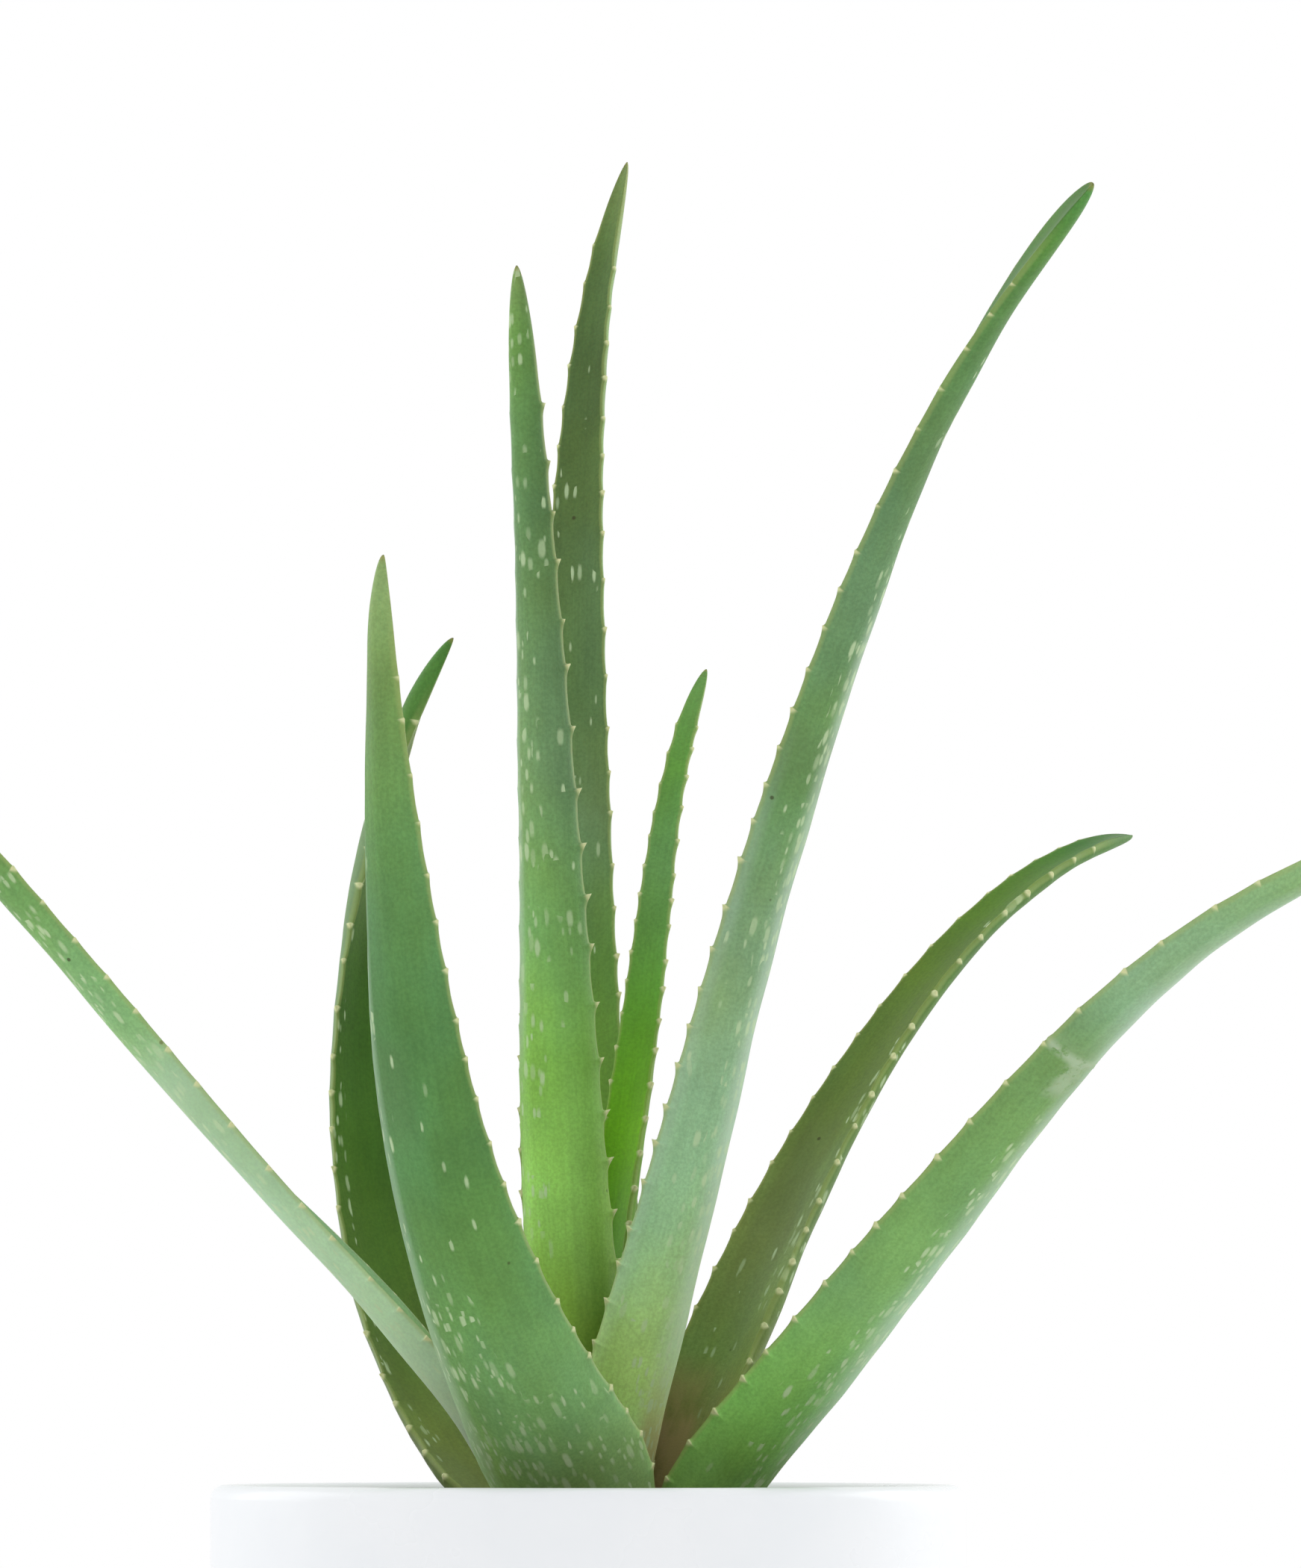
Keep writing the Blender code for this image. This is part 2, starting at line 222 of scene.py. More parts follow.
class Finish:
    """One node material and short ways to add nodes to it."""

    def __init__(self, name: str, roughness: float) -> None:
        """Start a material with its Principled shader.

        Args:
            name: Name of the material.
            roughness: Roughness where no node drives it.
        """
        self.material = bpy.data.materials.new(name)
        self.material.use_nodes = True
        self.tree = self.material.node_tree
        self.shader = self.tree.nodes["Principled BSDF"]
        self.shader.inputs["Roughness"].default_value = roughness

    def constant(self, **values: float) -> None:
        """Set plain numbers on the shader; an underscore stands for a space in the name."""
        for name, value in values.items():
            self.shader.inputs[name.replace("_", " ")].default_value = value

    def join(self, source: Value, target: Socket) -> None:
        """Link a socket to an input, or set the input if the source is a plain value.

        Args:
            source: A socket or a plain value.
            target: The input that takes it.
        """
        if isinstance(source, Socket):
            self.tree.links.new(source, target)
        else:
            target.default_value = source

    def drive(self, name: str, source: Value) -> None:
        """Feed one input of the shader."""
        self.join(source, self.shader.inputs[name])

    def attribute(self, name: str, output: str = "Fac") -> Socket:
        """Read a value that is stored on the mesh.

        Args:
            name: Name of the value.
            output: Fac for a number, Color for a colour.

        Returns:
            The value.
        """
        node = self.tree.nodes.new("ShaderNodeAttribute")
        node.attribute_name = name
        return node.outputs[output]

    def place(self) -> Socket:
        """Read the point's place on the object, in metres."""
        return self.tree.nodes.new("ShaderNodeTexCoord").outputs["Object"]

    def combine(self, x: Value, y: Value, z: Value = 0.0) -> Socket:
        """Join three numbers into a vector.

        Args:
            x: First number.
            y: Second number.
            z: Third number.

        Returns:
            The vector.
        """
        node = self.tree.nodes.new("ShaderNodeCombineXYZ")
        for source, target in zip((x, y, z), node.inputs):
            self.join(source, target)
        return node.outputs[0]

    def sum(self, step: str, first: Value, second: Value = 0.0, third: Value = 0.0,
            clamp: bool = False) -> Socket:
        """Do one step of arithmetic.

        Args:
            step: Name of the Math node's operation.
            first: First input.
            second: Second input.
            third: Third input, where the operation has one.
            clamp: Whether the answer is held between 0 and 1.

        Returns:
            The answer's socket.
        """
        node = self.tree.nodes.new("ShaderNodeMath")
        node.operation = step
        node.use_clamp = clamp
        for source, target in zip((first, second, third), node.inputs):
            self.join(source, target)
        return node.outputs[0]

    def between(self, value: Value, low: float, high: float, start: float = 0.0,
                end: float = 1.0) -> Socket:
        """Ease from start to end while the value goes from low to high.

        Args:
            value: What drives the change.
            low: Value where it starts; it may be above high.
            high: Value where it ends.
            start: Answer at low and beyond.
            end: Answer at high and beyond.

        Returns:
            The eased answer.
        """
        node = self.tree.nodes.new("ShaderNodeMapRange")
        node.interpolation_type = "SMOOTHSTEP"
        if low > high:
            low, high, start, end = high, low, end, start
        for source, target in zip((value, low, high, start, end), node.inputs):
            self.join(source, target)
        return node.outputs[0]

    def noise(self, where: Socket, scale: float, detail: float = 3.0, rough: float = 0.5,
              ) -> Socket:
        """Smooth noise of about 0 to 1 whose features are one unit over scale across.

        Args:
            where: Vector that places the noise.
            scale: Features for each unit of the vector.
            detail: How many finer layers are added.
            rough: How strong each finer layer is.

        Returns:
            The noise.
        """
        node = self.tree.nodes.new("ShaderNodeTexNoise")
        self.join(where, node.inputs["Vector"])
        node.inputs["Scale"].default_value = scale
        node.inputs["Detail"].default_value = detail
        node.inputs["Roughness"].default_value = rough
        return node.outputs["Fac"]

    def cells(self, where: Socket, scale: float, flat: bool = False, square: float = 2.0,
              ) -> Tuple[Socket, Socket]:
        """Scattered cells.

        Args:
            where: Vector that places the cells.
            scale: Cells for each unit of the vector.
            flat: Whether the cells lie on the vector's x and y only.
            square: 2 measures distance as a ball does, and more makes it squarer.

        Returns:
            The distance from the nearest cell's middle, and that cell's random colour.
        """
        node = self.tree.nodes.new("ShaderNodeTexVoronoi")
        node.voronoi_dimensions = "2D" if flat else "3D"
        self.join(where, node.inputs["Vector"])
        node.inputs["Scale"].default_value = scale
        if square > 2.0:
            node.distance = "MINKOWSKI"
            node.inputs["Exponent"].default_value = square
        return node.outputs["Distance"], node.outputs["Color"]

    def parts(self, colour: Socket) -> Tuple[Socket, Socket, Socket]:
        """Split a colour into its three numbers.

        Args:
            colour: The colour.

        Returns:
            Its red, green and blue.
        """
        node = self.tree.nodes.new("ShaderNodeSeparateColor")
        self.join(colour, node.inputs[0])
        return node.outputs[0], node.outputs[1], node.outputs[2]

    def blend(self, share: Value, first: Union[Socket, int], second: Union[Socket, int],
              how: str = "MIX") -> Socket:
        """Mix two colours, each a socket or a 0xRRGGBB number, by a share.

        Args:
            share: How much of the second colour shows, 0 to 1.
            first: Colour below.
            second: Colour above.
            how: Name of the mix, such as MIX or MULTIPLY.

        Returns:
            The mixed colour.
        """
        node = self.tree.nodes.new("ShaderNodeMix")
        node.data_type = "RGBA"
        node.blend_type = how
        self.join(share, node.inputs[0])
        for source, target in ((first, node.inputs[6]), (second, node.inputs[7])):
            self.join((*linear(source), 1.0) if isinstance(source, int) else source, target)
        return node.outputs[2]

    def shade(self, colour: Union[Socket, int], amount: Value) -> Socket:
        """Multiply a colour, a socket or a 0xRRGGBB number, by a number.

        Args:
            colour: The colour.
            amount: The number.

        Returns:
            The shaded colour.
        """
        node = self.tree.nodes.new("ShaderNodeVectorMath")
        node.operation = "SCALE"
        self.join(tuple(linear(colour)) if isinstance(colour, int) else colour, node.inputs[0])
        self.join(amount, node.inputs["Scale"])
        return node.outputs[0]

    def relief(self, height: Socket, depth: float, strength: float) -> None:
        """Turn a height of 0 to 1 into fine relief, depth metres deep.

        Args:
            height: Height of the surface.
            depth: Depth in metres where the height is 1.
            strength: How much of the relief shows.
        """
        node = self.tree.nodes.new("ShaderNodeBump")
        node.inputs["Strength"].default_value = strength
        node.inputs["Distance"].default_value = depth
        self.join(height, node.inputs["Height"])
        self.join(node.outputs[0], self.shader.inputs["Normal"])


# ---------------------------------------------------------------- leaves


class Face(Enum):
    """The two faces of a leaf: INNER is hollow and faces the crown, OUTER is rounded."""

    INNER = 1
    OUTER = -1


class Margin(Enum):
    """The two margins of a leaf, as seen from the front of the plant."""

    LEFT = -1
    RIGHT = 1


@dataclass(frozen=True)
class LeafForm:
    """Sizes of one leaf, in millimetres and degrees, the same as its node's in the CAD model.

    The leaf starts at its seat, straight up. Lean, heading and twist say how it bends from
    there at equal steps of its length, and wrap is half the arc that its section covers.
    The seat is a direction and a distance from the stem's middle. Neck and width at tip are
    shares of the full width.
    """

    seat: Tuple[float, float]
    length: float
    width: float
    thickness: float
    neck: float
    width_at_tip: float
    lean: Tuple[float, ...]
    heading: Tuple[float, ...]
    twist: Tuple[float, ...]
    wrap: Tuple[float, ...]


@dataclass(frozen=True)
class Teeth:
    """Teeth of one margin: spacing and height in millimetres, low down and near the tip.

    The first stands so many millimetres from the seat, the last at that share of the length.
    """

    margin: Margin
    spacing: Tuple[float, float]
    height: Tuple[float, float]
    first: float = 12.0
    last: float = 0.93


@dataclass(frozen=True)
class Patch:
    """A patch on one face: shares of the length, then shares across, -1 at the left margin.

    Soft sets how gently it fades at its two ends, and edge how gently at its sides.
    """

    along: Tuple[float, float]
    across: Tuple[float, float]
    amount: float
    face: Face = Face.OUTER
    soft: float = 0.15
    edge: float = 0.2


@dataclass(frozen=True)
class Crease:
    """A soft lengthwise ridge: its place across, height and half-width in millimetres."""

    across: float
    height: float
    reach: float
    along: Tuple[float, float] = (0.05, 0.8)


@dataclass(frozen=True)
class LeafLook:
    """Colours and marks of one leaf.

    seen: The face that shows from the front. outer, inner: Colour stops of the two faces, the
    leaf's own colour with painted light near the seat to offset the shade there.
    flecks: Pale dashes. bloom_and_highlight: Chalky haze, partly a painted highlight where a
    margin catches the light. painted_shade: Painted shade and painted shadow. dry: Tan, drying
    skin.
    tone: Painted shade and light: brightness at the left and right margins, against the middle.
    """

    seen: Face
    outer: Stops
    inner: Stops
    teeth: Tuple[Teeth, ...]
    flecks: Tuple[Patch, ...] = ()
    bloom_and_highlight: Tuple[Patch, ...] = ()
    painted_shade: Tuple[Patch, ...] = ()
    scars: Tuple[Patch, ...] = ()
    dry: Tuple[Patch, ...] = ()
    tone: Tuple[float, float] = (1.0, 1.0)
    creases: Tuple[Crease, ...] = ()
    seed: int = 1


class SkinFinish(Finish):
    """A leaf's material, whose patterns are stretched along the leaf."""

    def __init__(self, name: str, roughness: float, seed: int) -> None:
        """Start the material and read the place on the leaf.

        Args:
            name: Name of the material.
            roughness: Roughness where no node drives it.
            seed: Moves the patterns, so that no two leaves repeat.
        """
        super().__init__(name, roughness)
        self.seed = seed
        self.across = self.attribute("across_mm")
        self.run = self.attribute("along_mm")

    def stretched(self, across: float, along: float, along_shift: float = 0.0,
                  across_shift: float = 0.0) -> Socket:
        """Place on the leaf, scaled differently across and along.

        Args:
            across: Pattern units for each millimetre across.
            along: Pattern units for each millimetre along.
            along_shift: How far one seed moves the pattern along.
            across_shift: How far one seed moves the pattern across.

        Returns:
            The place as a vector.
        """
        return self.combine(
            self.sum("MULTIPLY_ADD", self.across, across, self.seed * across_shift),
            self.sum("MULTIPLY_ADD", self.run, along, self.seed * along_shift))

    def marked(self, name: str, pattern: Value) -> Socket:
        """Break up one of the leaf's painted patches with a pattern."""
        return self.sum("MULTIPLY", self.attribute(name), pattern)


@dataclass(frozen=True)
class FleckSize:
    """One size of fleck: its cell in millimetres, its share of flecks and its seed shift."""

    width: float
    length: float
    share: float
    shift: float


@dataclass(frozen=True)
class SkinPatterns:
    """Patterns that a leaf's colour, shine and relief share, each a socket of 0 to 1."""

    cloudy: Socket
    veins: Socket
    grain: Socket
    chalk_and_highlight: Socket
    flecks: Socket
    scar: Socket


@dataclass(frozen=True)
class LeafSkin:
    """Finish shared by the leaves: sizes in millimetres, colours as 0xRRGGBB.

    A spread is how much a pattern darkens and lightens the skin at most.
    """

    fleck: int = 0xC0D6AA
    # chalky haze, also laid as a painted highlight where a margin catches the light
    bloom_and_highlight: int = 0xC2D6C4
    margin: int = 0x9FB16C
    tooth: int = 0xCFD6A2
    tooth_end: int = 0xB39A63
    scar: int = 0xA9BF9C
    speck: int = 0x3E3B22
    # painted shade: dark olive laid where a leaf lies in shade or under another leaf's shadow
    painted_shade: int = 0x55513A
    tan: int = 0xB5A272
    tip: int = 0x8F8A4E
    warm: int = 0xFFF6C8
    margin_width: float = 0.4
    margin_strength: float = 0.4
    tip_length: float = 1.8
    cloud_spread: float = 0.12
    vein_spread: float = 0.045
    grain_spread: float = 0.1
    warm_share: float = 0.7
    speck_share: float = 0.02
    speck_strength: float = 0.75
    fleck_sizes: Tuple[FleckSize, ...] = (FleckSize(1.9, 6.4, 1.0, 5.7),
                                          FleckSize(1.25, 4.4, 0.5, 8.9))
    fleck_square: float = 2.4
    roughness: float = 0.5
    relief_depth: float = 0.16

    def dress(self, piece: bpy.types.Object, name: str, seed: int) -> None:
        """Give a leaf its satin skin with flecks, chalky haze partly painted as a highlight,
        margin line and tooth tips.

        Args:
            piece: The leaf, with its attributes stored on it.
            name: Name of the material.
            seed: Moves the patterns, so that no two leaves repeat.
        """
        skin = SkinFinish(name, self.roughness, seed)
        place = skin.place()
        cloudy = skin.noise(skin.stretched(0.09, 0.045, 7.3), 1.0, 5.0, 0.6)
        crust = skin.noise(place, 380.0, 5.0, 0.65)
        patterns = SkinPatterns(
            cloudy=cloudy,
            veins=skin.noise(skin.stretched(1.25, 0.028, 3.1), 1.0, 3.0, 0.65),
            grain=skin.noise(place, 1400.0, 2.0, 0.6),
            # chalky haze mask, partly a painted highlight along lit margins
            chalk_and_highlight=skin.marked("bloom_and_highlight", skin.between(cloudy, 0.2, 0.6, 0.75, 1.0)),
            flecks=self.fleck_mask(skin),
            scar=skin.marked("scar", skin.between(crust, 0.34, 0.5)))
        green = self.mottled(skin, patterns)
        skin.drive("Base Color", self.edged(skin, self.spotted(skin, patterns, place, green)))
        skin.drive("Roughness", self.dullness(skin, patterns))
        self.emboss(skin, patterns, place)
        skin.constant(Subsurface_Weight=0.08, Subsurface_Scale=0.004, Specular_IOR_Level=0.16)
        piece.data.materials.append(skin.material)

    def mottled(self, skin: SkinFinish, patterns: SkinPatterns) -> Socket:
        """Make the leaf's own green, warmed here and there, with clouds, veins and grain.

        Args:
            skin: The material being made.
            patterns: Its shared patterns.

        Returns:
            The skin's colour before any marks.
        """
        wide = skin.noise(skin.stretched(0.05, 0.02, 5.9), 1.0, 3.0, 0.5)
        colour = skin.blend(skin.between(wide, 0.35, 0.7, 0.0, self.warm_share),
                            skin.attribute("tint", "Color"), self.warm, "MULTIPLY")
        for pattern, low, high, spread in (
                (patterns.cloudy, 0.25, 0.75, self.cloud_spread),
                (patterns.veins, 0.3, 0.7, self.vein_spread),
                (patterns.grain, 0.25, 0.75, self.grain_spread)):
            amount = skin.between(pattern, low, high, 1.0 - spread, 1.0 + spread)
            colour = skin.shade(colour, amount)
        return colour

    def spotted(self, skin: SkinFinish, patterns: SkinPatterns, place: Socket,
                colour: Socket) -> Socket:
        """Lay the chalky haze with its painted highlight, painted shade and shadow, dry patches,
        flecks, dark specks and the scar on the green.

        Args:
            skin: The material being made.
            patterns: Its shared patterns.
            place: Place on the object.
            colour: The green below.

        Returns:
            The colour with its marks.
        """
        # painted shade: the leaf's shade patches, broken up by the veins, darken the green
        painted_shade = skin.marked("painted_shade", skin.between(patterns.veins, 0.3, 0.65, 0.6, 1.0))
        dry = skin.marked("dry", skin.between(patterns.cloudy, 0.3, 0.55))
        away, pick = skin.cells(place, 260.0)
        speck = skin.sum("MULTIPLY", skin.between(away, 0.16, 0.07),
                         skin.sum("LESS_THAN", skin.parts(pick)[0], self.speck_share))
        speck = skin.sum("MULTIPLY", speck, self.speck_strength)
        for share, over in ((patterns.chalk_and_highlight, self.bloom_and_highlight), (painted_shade, self.painted_shade), (dry, self.tan),
                            (patterns.flecks, self.fleck), (speck, self.speck),
                            (patterns.scar, self.scar)):
            colour = skin.blend(share, colour, over)
        return colour

    def edged(self, skin: SkinFinish, colour: Socket) -> Socket:
        """Colour the margin line, the teeth, their ends and the leaf's tip.

        Args:
            skin: The material being made.
            colour: The colour below.

        Returns:
            The finished colour.
        """
        to_tip = skin.attribute("tip_mm")
        line = skin.between(skin.attribute("rim_mm"), self.margin_width * 1.6,
                            self.margin_width * 0.4)
        line = skin.sum("MULTIPLY", line,
                        skin.between(to_tip, 8.0, 25.0, 0.0, self.margin_strength))
        tooth = skin.attribute("tooth")
        for share, over in ((line, self.margin),
                            (skin.between(tooth, 0.12, 0.4), self.tooth),
                            (skin.between(tooth, 0.8, 1.0, 0.0, 0.6), self.tooth_end),
                            (skin.between(to_tip, self.tip_length, 0.2, 0.0, 0.6), self.tip)):
            colour = skin.blend(share, colour, over)
        return colour

    def dullness(self, skin: SkinFinish, patterns: SkinPatterns) -> Socket:
        """Roughness: bloom and the scar are duller, and clouds vary it a little.

        Args:
            skin: The material being made.
            patterns: Its shared patterns.

        Returns:
            The roughness, held between 0 and 1.
        """
        dull = skin.sum("MULTIPLY_ADD", patterns.chalk_and_highlight, 0.16, self.roughness)
        dull = skin.sum("ADD", dull, skin.between(patterns.cloudy, 0.3, 0.7, -0.05, 0.05))
        return skin.sum("MULTIPLY_ADD", patterns.scar, 0.3, dull, clamp=True)

    def emboss(self, skin: SkinFinish, patterns: SkinPatterns, place: Socket) -> None:
        """Raise the fine relief of veins, grain, pores, flecks and the scar.

        Args:
            skin: The material being made.
            patterns: Its shared patterns.
            place: Place on the object.
        """
        pores, _ = skin.cells(place, 1600.0)
        height = skin.sum("MULTIPLY", patterns.veins, 0.55)
        for pattern, share in ((patterns.grain, 0.25), (skin.between(pores, 0.1, 0.45), 0.12),
                               (patterns.flecks, 0.14), (patterns.scar, 0.8)):
            height = skin.sum("MULTIPLY_ADD", pattern, share, height)
        skin.relief(height, self.relief_depth * MM, 0.55)

    def fleck_mask(self, skin: SkinFinish) -> Socket:
        """Pale dashes: stretched cells, kept where the leaf is flecked.

        Args:
            skin: The material being made.

        Returns:
            The flecks' strength, and 0 outside them, with soft ragged ends. They thicken and
            thin in loose bands across the leaf.
        """
        bands = skin.noise(skin.stretched(0.05, 0.11, 2.3), 1.0, 2.0)
        density = skin.marked("fleck", skin.between(bands, 0.36, 0.6, 0.35, 1.5))
        ragged = skin.noise(skin.stretched(2.2, 0.6), 1.0, 2.0)
        total: Value = 0.0
        for cell in self.fleck_sizes:
            where = skin.stretched(1 / cell.width, 1 / cell.length, 1.9, cell.shift)
            away, pick = skin.cells(where, 1.0, flat=True, square=self.fleck_square)
            chance, size, strength = skin.parts(pick)
            reach = skin.sum("MULTIPLY_ADD", size, 0.17, 0.11)
            reach = skin.sum("MULTIPLY_ADD", ragged, 0.14, reach)
            inside = skin.between(skin.sum("SUBTRACT", away, reach), 0.05, -0.15)
            kept = skin.sum("LESS_THAN", chance, skin.sum("MULTIPLY", density, cell.share))
            mask = skin.sum("MULTIPLY", inside, kept)
            mask = skin.sum("MULTIPLY", mask, skin.sum("MULTIPLY_ADD", strength, 0.5, 0.28))
            total = skin.sum("MAXIMUM", total, mask)
        return total


@dataclass(frozen=True)
class Thorn:
    """Shape that the teeth share.

    Lengths, reaches and the scallop's height are millimetres. The peak's place, the feet and
    the rings are half-lengths of a tooth, and the rest are powers and shares.
    """

    half_length: float = 1.5
    peak: float = 0.42
    foot_below: float = 1.7
    foot_above: float = 0.5
    curve_below: float = 2.1
    curve_above: float = 1.5
    inward_reach: float = 0.55
    hook: float = 0.5
    rings: Tuple[float, ...] = (-1.6, -1.15, -0.8, -0.5, -0.25, 0.0, 0.12, 0.3, 0.42, 0.56, 0.75,
                                1.0, 1.3)
    gap_change: Tuple[float, float] = (0.82, 1.18)
    height_change: Tuple[float, float] = (0.72, 1.12)
    scallop: float = 0.3
    scallop_level: float = 0.35
    scallop_length: float = 3.2
    scallop_reach: float = 1.5


@dataclass(frozen=True)
class LeafGrid:
    """Rings of surface coordinates on a leaf, each array rings by points.

    along: Share of the length. run: Distance from the seat. side: 1 mid inner face, -1 mid
    outer face. share: Share across in the section's own sense. right: The same from left to
    right as seen from the front. half: Half the width. rim: Distance from the nearer margin.
    """

    along: Array
    run: Array
    side: Array
    share: Array
    right: Array
    half: Array
    rim: Array


@dataclass
class Leaf:
    """One fleshy leaf, built on the same curves as its node in the model."""

    name: str
    form: LeafForm
    look: LeafLook
    thorn: Thorn = Thorn()
    around: int = 48
    step: float = 3.0
    neck_share: float = 0.15
    thickness_left_at_tip: float = 0.4
    thickness_at_seat: float = 0.6
    thickness_to_width: float = 0.85
    inner_bulge: float = 0.6
    inner_bulge_width: float = 6.0
    inner_power: float = 0.8
    outer_power: float = 1.4
    tip_round_share: float = 0.08
    tip_rings: int = 16
    last_ring: float = 0.995
    bend_near_seat: float = 0.7
    widest_wrap: float = 100.0
    spine_steps: int = 240
    swell: float = 0.16
    swell_length: float = 60.0
    swell_full_half: float = 6.0
    scar_lift: float = 0.35
    scar_length: float = 5.0

    def through(self, values: Sequence[float], along: Array) -> Array:
        """Pass a smooth curve through equally spaced values.

        Args:
            values: Values to pass through, seat first.
            along: Shares of the length; raising them to a power bends more near the seat.

        Returns:
            The cubic that meets each value with the slope of its neighbours.
        """
        held = np.asarray(values, float)
        place = np.clip(along, 0, 1) ** self.bend_near_seat * (len(held) - 1)
        low = np.minimum(place.astype(int), len(held) - 2)
        t = place - low
        slope = np.gradient(held)
        return ((2 * t**3 - 3 * t**2 + 1) * held[low] + (t**3 - 2 * t**2 + t) * slope[low]
                + (3 * t**2 - 2 * t**3) * held[low + 1] + (t**3 - t**2) * slope[low + 1])

    def taper(self, along: Array, left_at_tip: float) -> Array:
        """Narrow in a straight line to a share at the tip, times a rounded end.

        Args:
            along: Shares of the length.
            left_at_tip: Share that the straight line leaves at the tip.

        Returns:
            Shares of the full size. The end is a quarter of an ellipse.
        """
        rounding = np.clip((1 - along) / self.tip_round_share, 0, 1)
        straight = left_at_tip + (1 - left_at_tip) * (1 - along)
        return straight * np.sqrt(np.maximum(1 - (1 - rounding) ** 2, 0))

    def directions(self, along: Array) -> Tuple[Array, Array, Array]:
        """Work out the leaf's own axes: forward, across and inward unit vectors.

        Args:
            along: Shares of the length.

        Returns:
            Three arrays of unit vectors, one row for each share. Twist turns the last two about
            the first.
        """
        form = self.form
        lean = np.radians(self.through((0.0, *form.lean), along))
        heading = np.radians(self.through((form.seat[0], *form.heading), along))
        twist = np.radians(self.through((0.0, *form.twist), along))[:, None]
        forward = np.stack([np.sin(lean) * np.cos(heading), np.sin(lean) * np.sin(heading),
                            np.cos(lean)], -1)
        across = np.stack([-np.sin(heading), np.cos(heading), np.zeros_like(heading)], -1)
        inward = np.cross(forward, across)
        return (forward, across * np.cos(twist) + inward * np.sin(twist),
                inward * np.cos(twist) - across * np.sin(twist))

    def spine(self, along: Array) -> Array:
        """Places on the middle line: the seat plus the forward direction summed up to there.

        Args:
            along: Shares of the length.

        Returns:
            Places in millimetres, one row for each share.
        """
        steps = np.linspace(0, 1, self.spine_steps + 1)
        forward = self.directions(steps)[0]
        middle = (forward[1:] + forward[:-1]) / 2 * self.form.length / self.spine_steps
        path = np.concatenate([np.zeros((1, 3)), np.cumsum(middle, 0)])
        turn, out = np.radians(self.form.seat[0]), self.form.seat[1]
        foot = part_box(self.name)[0].z / MM
        crown_low, crown_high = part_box("stem")
        middle_x = (crown_low.x + crown_high.x) / 2 / MM
        seat = np.array([middle_x + out * np.cos(turn), out * np.sin(turn), foot])
        return seat + np.stack([np.interp(along, steps, path[:, i]) for i in range(3)], -1)

    def width_at(self, along: Array) -> Array:
        """Width across the leaf: full width, tapered, and drawn in at the neck.

        Args:
            along: Shares of the length.

        Returns:
            Widths in millimetres.
        """
        rise = ease(along / self.neck_share)
        form = self.form
        return (form.width * self.taper(along, form.width_at_tip)
                * (form.neck + (1 - form.neck) * rise))

    def section(self, along: Array, turn: Array) -> Tuple[Array, Array]:
        """Cross-sections: a thin crescent whose outer face is full and whose inner is hollow.

        Args:
            along: Shares of the length, one for each ring.
            turn: Angles round the section; 0 and pi are the margins, 0 to pi is inner.

        Returns:
            Places across and inward from the middle line, rings by points. A point lies on an
            arc of the leaf's wrap, moved off it by sine to the inner or the outer power.
        """
        form = self.form
        width = self.width_at(along)
        rise = ease(along / self.neck_share)
        full = (form.thickness * self.taper(along, self.thickness_left_at_tip)
                * (self.thickness_at_seat + (1 - self.thickness_at_seat) * rise))
        limit = self.thickness_to_width * width
        thick = full * limit / np.maximum(np.hypot(full, limit), 1e-9)
        seat_wrap = min(np.degrees(form.width * form.neck / 2 / form.seat[1]), self.widest_wrap)
        wrap = np.radians(self.through((seat_wrap, *form.wrap), along))
        radius = (width / (2 * wrap))[:, None]
        bulge = (self.inner_bulge * np.minimum(1, width / self.inner_bulge_width))[:, None]
        angle = wrap[:, None] * np.cos(turn)[None]
        side = np.sin(turn)[None]
        inner = bulge * np.abs(side) ** self.inner_power
        outer = inner / 2 + thick[:, None] * np.abs(side) ** self.outer_power
        offset = np.where(side > 0, inner, -outer)
        return (radius - offset) * np.sin(angle), radius - (radius - offset) * np.cos(angle)

    def hand(self) -> float:
        """Sign that turns the section's own across into left to right as seen from the front."""
        return 1.0 if self.look.seen is Face.OUTER else -1.0

    def tooth_places(self, teeth: Teeth, seed: int) -> Tuple[Array, Array]:
        """Places and heights of one margin's teeth.

        Args:
            teeth: Spacing and height of the teeth.
            seed: Seed of the small random changes.

        Returns:
            Distances from the seat and heights, in millimetres. Each gap is the spacing at its
            place times a random gap change, and each height has a random height change.
        """
        pick = np.random.default_rng(seed)
        length = self.form.length
        count = int(length / min(teeth.spacing)) + 2
        guess = np.linspace(0, 1, count)
        gaps = (np.interp(guess, (0, 1), teeth.spacing)
                * pick.uniform(*self.thorn.gap_change, count))
        places = teeth.first + np.cumsum(gaps) - gaps[0]
        places = places[places < teeth.last * length]
        share = places / length
        height = (np.interp(share, (0, 1), teeth.height)
                  * pick.uniform(*self.thorn.height_change, len(places)))
        return places, height

    def stations(self, places: Array) -> Array:
        """Shares of the length where rings lie: even steps, more at the tip and each tooth.

        Args:
            places: Distances of the teeth from the seat.

        Returns:
            Shares in order, without repeats.
        """
        length = self.form.length
        even = np.linspace(0, length, int(length / self.step) + 1)[:-1]
        closer = np.linspace(0.06, 1, self.tip_rings) ** 2
        tip = length * (1 - self.tip_round_share * closer)
        close = (places[:, None] + self.thorn.half_length * np.array(self.thorn.rings)).ravel()
        inside = (close > 0) & (close < length * self.last_ring)
        every = np.concatenate([even, tip, close[inside]])
        return np.unique(np.round(every, 1)) / length

    def tooth_push(self, run: Array, places: Array, heights: Array) -> Array:
        """Height of the teeth at each ring.

        Args:
            run: Distance of each ring from the seat.
            places: Distances of the teeth.
            heights: Their heights.

        Returns:
            A thorn profile: it rises slowly from below to a point a little above its middle,
            then falls off steeply.
        """
        thorn = self.thorn
        away = (run[:, None] - places) / thorn.half_length - thorn.peak
        below = np.clip(1 + away / thorn.foot_below, 0, 1) ** thorn.curve_below
        above = np.clip(1 - away / thorn.foot_above, 0, 1) ** thorn.curve_above
        return (np.where(away < 0, below, above) * heights).sum(1)

